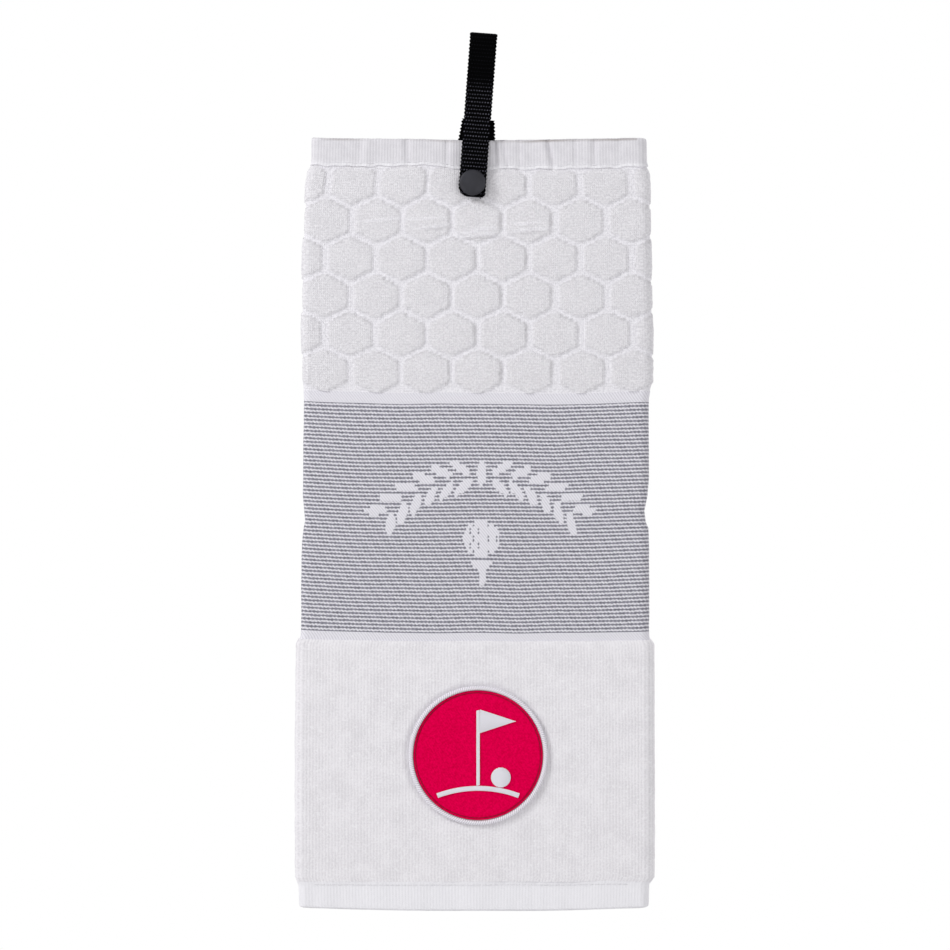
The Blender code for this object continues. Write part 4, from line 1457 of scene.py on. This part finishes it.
ground_low, ground_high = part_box("patch_ground")
GROUND_RADIUS = (ground_high.x - ground_low.x) / 2
RING_RADIUS = GROUND_RADIUS - 1.1 * MM
lines = np.linspace(-1, 1, 121)
mesh, u, v, face = laid_out("twill_disc", lines, lines)
x = u * np.sqrt(1 - v * v / 2)
z = v * np.sqrt(1 - u * u / 2)
radius = np.hypot(x, z) * GROUND_RADIUS
groove = 0.32 * MM * hump(radius, RING_RADIUS, 0.42 * MM)
rim = 0.35 * MM * step(radius, GROUND_RADIUS - 0.7 * MM, GROUND_RADIUS)
swell = 0.05 * MM * grain(x, z, 0.35, 71)
y = np.where(face > 0.5, ground_low.y + groove + rim + 0.05 * MM + swell, ground_high.y)
set_coordinates(mesh, PATCH_MIDDLE.x + x * GROUND_RADIUS, y, PATCH_MIDDLE.z + z * GROUND_RADIUS)
mesh.materials.append(twill_finish())
mesh.shade_smooth()
mesh.set_sharp_from_angle(angle=math.radians(60))
disc = add_object("twill_disc", mesh)
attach(disc, "towel")
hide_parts("patch_ground")
print("the twill is", round(2 * GROUND_RADIUS / MM, 1), "mm across")

# %% [markdown]
# The border is a cord of overlock stitches. One round section is spun about the patch's middle in many
# small steps, and then each point is drawn in wherever one winding meets the next. The windings slant,
# so the place of a valley depends on how far across the cord a point lies.

# %% Merrowed border


def merrow_finish():
    """White overlock thread, with shade where one winding meets the next."""
    f = Finish("merrow_thread", 0.6, Specular_IOR_Level=0.25)
    fuzz = f.noise(f.place(), 1500, 2)
    valley = f.scaled(f.attribute("valley"), f.ramp(fuzz, 0.2, 0.6, 0.6, 1.0))
    f.colour(f.mix(valley, (0.93, 0.91, 0.97, 1), (0.42, 0.37, 0.43, 1)))
    f.bump(fuzz, 0.0001, 0.5)
    return f.material


MERROW_STITCHES = 186
steps = MERROW_STITCHES * 7
half_width = 1.2 * MM
half_depth = 0.95 * MM
ring_middle = PATCH_RADIUS - half_width
ring_y = patch_high.y - half_depth
bm = bmesh.new()
section = bmesh.ops.create_circle(bm, segments=14, radius=1)["verts"]
for vertex in section:
    vertex.co = Vector((ring_middle + vertex.co.x * half_width, vertex.co.y * half_depth, 0))
spun(bm, section + bm.edges[:], steps)
valleys = []
for vertex in bm.verts:
    turn = math.atan2(vertex.co.z, vertex.co.x)
    reach = math.hypot(vertex.co.x, vertex.co.z)
    a, b = (reach - ring_middle) / half_width, vertex.co.y / half_depth
    winding = MERROW_STITCHES * turn + 3.0 * a
    ridge = abs(math.cos(winding / 2))
    valleys.append(max(0.0, 1 - 1.35 * ridge))
    size = 0.66 + 0.34 * math.sqrt(ridge)
    new_reach = ring_middle + a * half_width * size
    vertex.co = Vector((new_reach * math.cos(turn), b * half_depth * size, new_reach * math.sin(turn)))
bmesh.ops.translate(bm, verts=bm.verts, vec=(PATCH_MIDDLE.x, ring_y, PATCH_MIDDLE.z))
border = finished("merrowed_border", bm, merrow_finish())
add_mark(border.data, "valley", np.array(valleys))
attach(border, "towel")
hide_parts("patch_border")
print("merrowed border:", MERROW_STITCHES, "stitches")

# %% [markdown]
# The ring of stitches holds the patch to the towel. It lies in the groove that it has pulled into the
# twill, in thread of the same colour as the twill, which is painted much darker for the groove's shade,
# so it shows as a fine darker line inside the border.

# %% Ring of stitches
bm = bmesh.new()
RING_STITCHES = 108
for n in range(RING_STITCHES):
    ends = []
    for share in (0.02, 0.86):
        turn = math.tau * (n + share) / RING_STITCHES
        ends.append((PATCH_MIDDLE.x + RING_RADIUS * math.cos(turn), ground_low.y + 0.12 * MM,
                     PATCH_MIDDLE.z + RING_RADIUS * math.sin(turn)))
    add_thread(bm, *ends, 0.19 * MM)
ring = finished("patch_ring_stitches", bm, CRIMSON_THREAD)
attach(ring, "towel")
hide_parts("patch_stitching")
print("ring of", RING_STITCHES, "crimson stitches")

# %% [markdown]
# The emblem is three shapes, each filled with threads side by side. The green is a curved band, filled
# across its width. The pin is filled with short slanting threads and the flag with upright ones, which
# get shorter towards its tip. The ball is filled with level ones. Every second thread lies a hair
# higher, as satin stitches do where they crowd each other.

# %% Emblem
SATIN_PITCH = 0.40 * MM
SATIN_RADIUS = 0.25 * MM
SATIN_Y = ground_low.y - 0.42 * MM
green_low, green_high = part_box("patch_green")
flag_low, flag_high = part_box("patch_flag")
ball_low, ball_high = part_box("patch_ball")


def satin(name, node, stitches):
    """Threads side by side, each from one point (x, z) to another, in one embroidered piece."""
    bm = bmesh.new()
    for n, (a, b) in enumerate(stitches):
        high = SATIN_Y - 0.05 * MM * (n % 2)
        add_thread(bm, (a[0], high, a[1]), (b[0], high, b[1]), SATIN_RADIUS, 0.95)
    piece = finished(name, bm, SATIN_THREAD)
    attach(piece, "towel")
    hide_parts(node)
    return len(stitches)


half_chord = (green_high.x - green_low.x) / 2
rise = 4 * MM
green_radius = (half_chord**2 + rise**2) / (2 * rise)
green_middle = ((green_low.x + green_high.x) / 2, green_high.z - green_radius)
spread = math.asin(half_chord / green_radius)
count = round(2 * spread * green_radius / SATIN_PITCH)
stitches = []
for n in range(count):
    turn = spread * (2 * (n + 0.5) / count - 1)
    sin, cos = math.sin(turn), math.cos(turn)
    stitches.append([(green_middle[0] + r * sin, green_middle[1] + r * cos)
                     for r in (green_radius - 2.4 * MM, green_radius - 0.25 * MM)])
threads = satin("green_embroidery", "patch_green", stitches)

PIN_HALF = 0.9 * MM
pin_x = flag_low.x + PIN_HALF
FLAG_DEPTH = 12.5 * MM
stitches = []
for n in range(int((flag_high.z - flag_low.z) / SATIN_PITCH)):
    z = flag_low.z + (n + 0.5) * SATIN_PITCH
    reach = PIN_HALF - 0.2 * MM
    stitches.append([(pin_x - reach, z - 0.2 * MM), (pin_x + reach, z + 0.1 * MM)])
length = flag_high.x - pin_x - PIN_HALF
for n in range(int(length / SATIN_PITCH)):
    x = pin_x + PIN_HALF + (n + 0.5) * SATIN_PITCH
    half = FLAG_DEPTH / 2 * (1 - (n + 0.5) * SATIN_PITCH / length)
    middle = flag_high.z - FLAG_DEPTH / 2
    inset = min(0.2 * MM, half)
    stitches.append([(x, middle - half + inset), (x + 0.15 * MM, middle + half - inset)])
threads += satin("flag_embroidery", "patch_flag", stitches)

ball_middle = (ball_low + ball_high) / 2
ball_radius = (ball_high.x - ball_low.x) / 2
stitches = []
for n in range(round(2 * ball_radius / SATIN_PITCH)):
    z = -ball_radius + (n + 0.5) * SATIN_PITCH
    half = max(math.sqrt(max(ball_radius**2 - z * z, 0)) - 0.2 * MM, 0.2 * MM)
    level = ball_middle.z + z
    stitches.append([(ball_middle.x - half, level), (ball_middle.x + half, level)])
threads += satin("ball_embroidery", "patch_ball", stitches)
print("the emblem has", threads, "satin threads")

# %% [markdown]
# Behind the twill is a stiff backing of pressed fibres, which keeps the patch flat. Only its rim can be
# seen, so it keeps the frame's shape and takes a grey, fibrous finish.

# %% Backing


def backing_finish():
    f = Finish("patch_backing", 0.9)
    fibre = f.noise(f.place(), 1400, 4, 0.7)
    f.colour(f.mix(fibre, (0.45, 0.44, 0.46, 1), (0.66, 0.65, 0.67, 1)))
    f.bump(fibre, 0.0001, 0.6)
    return f.material


refinish("patch_backing", backing_finish())
print("the backing is", round(frame["nodes"]["patch_backing"].dimensions.x / MM, 1), "mm across")

# %% [markdown] ## The end

# %% The end
print("the end of the scene")
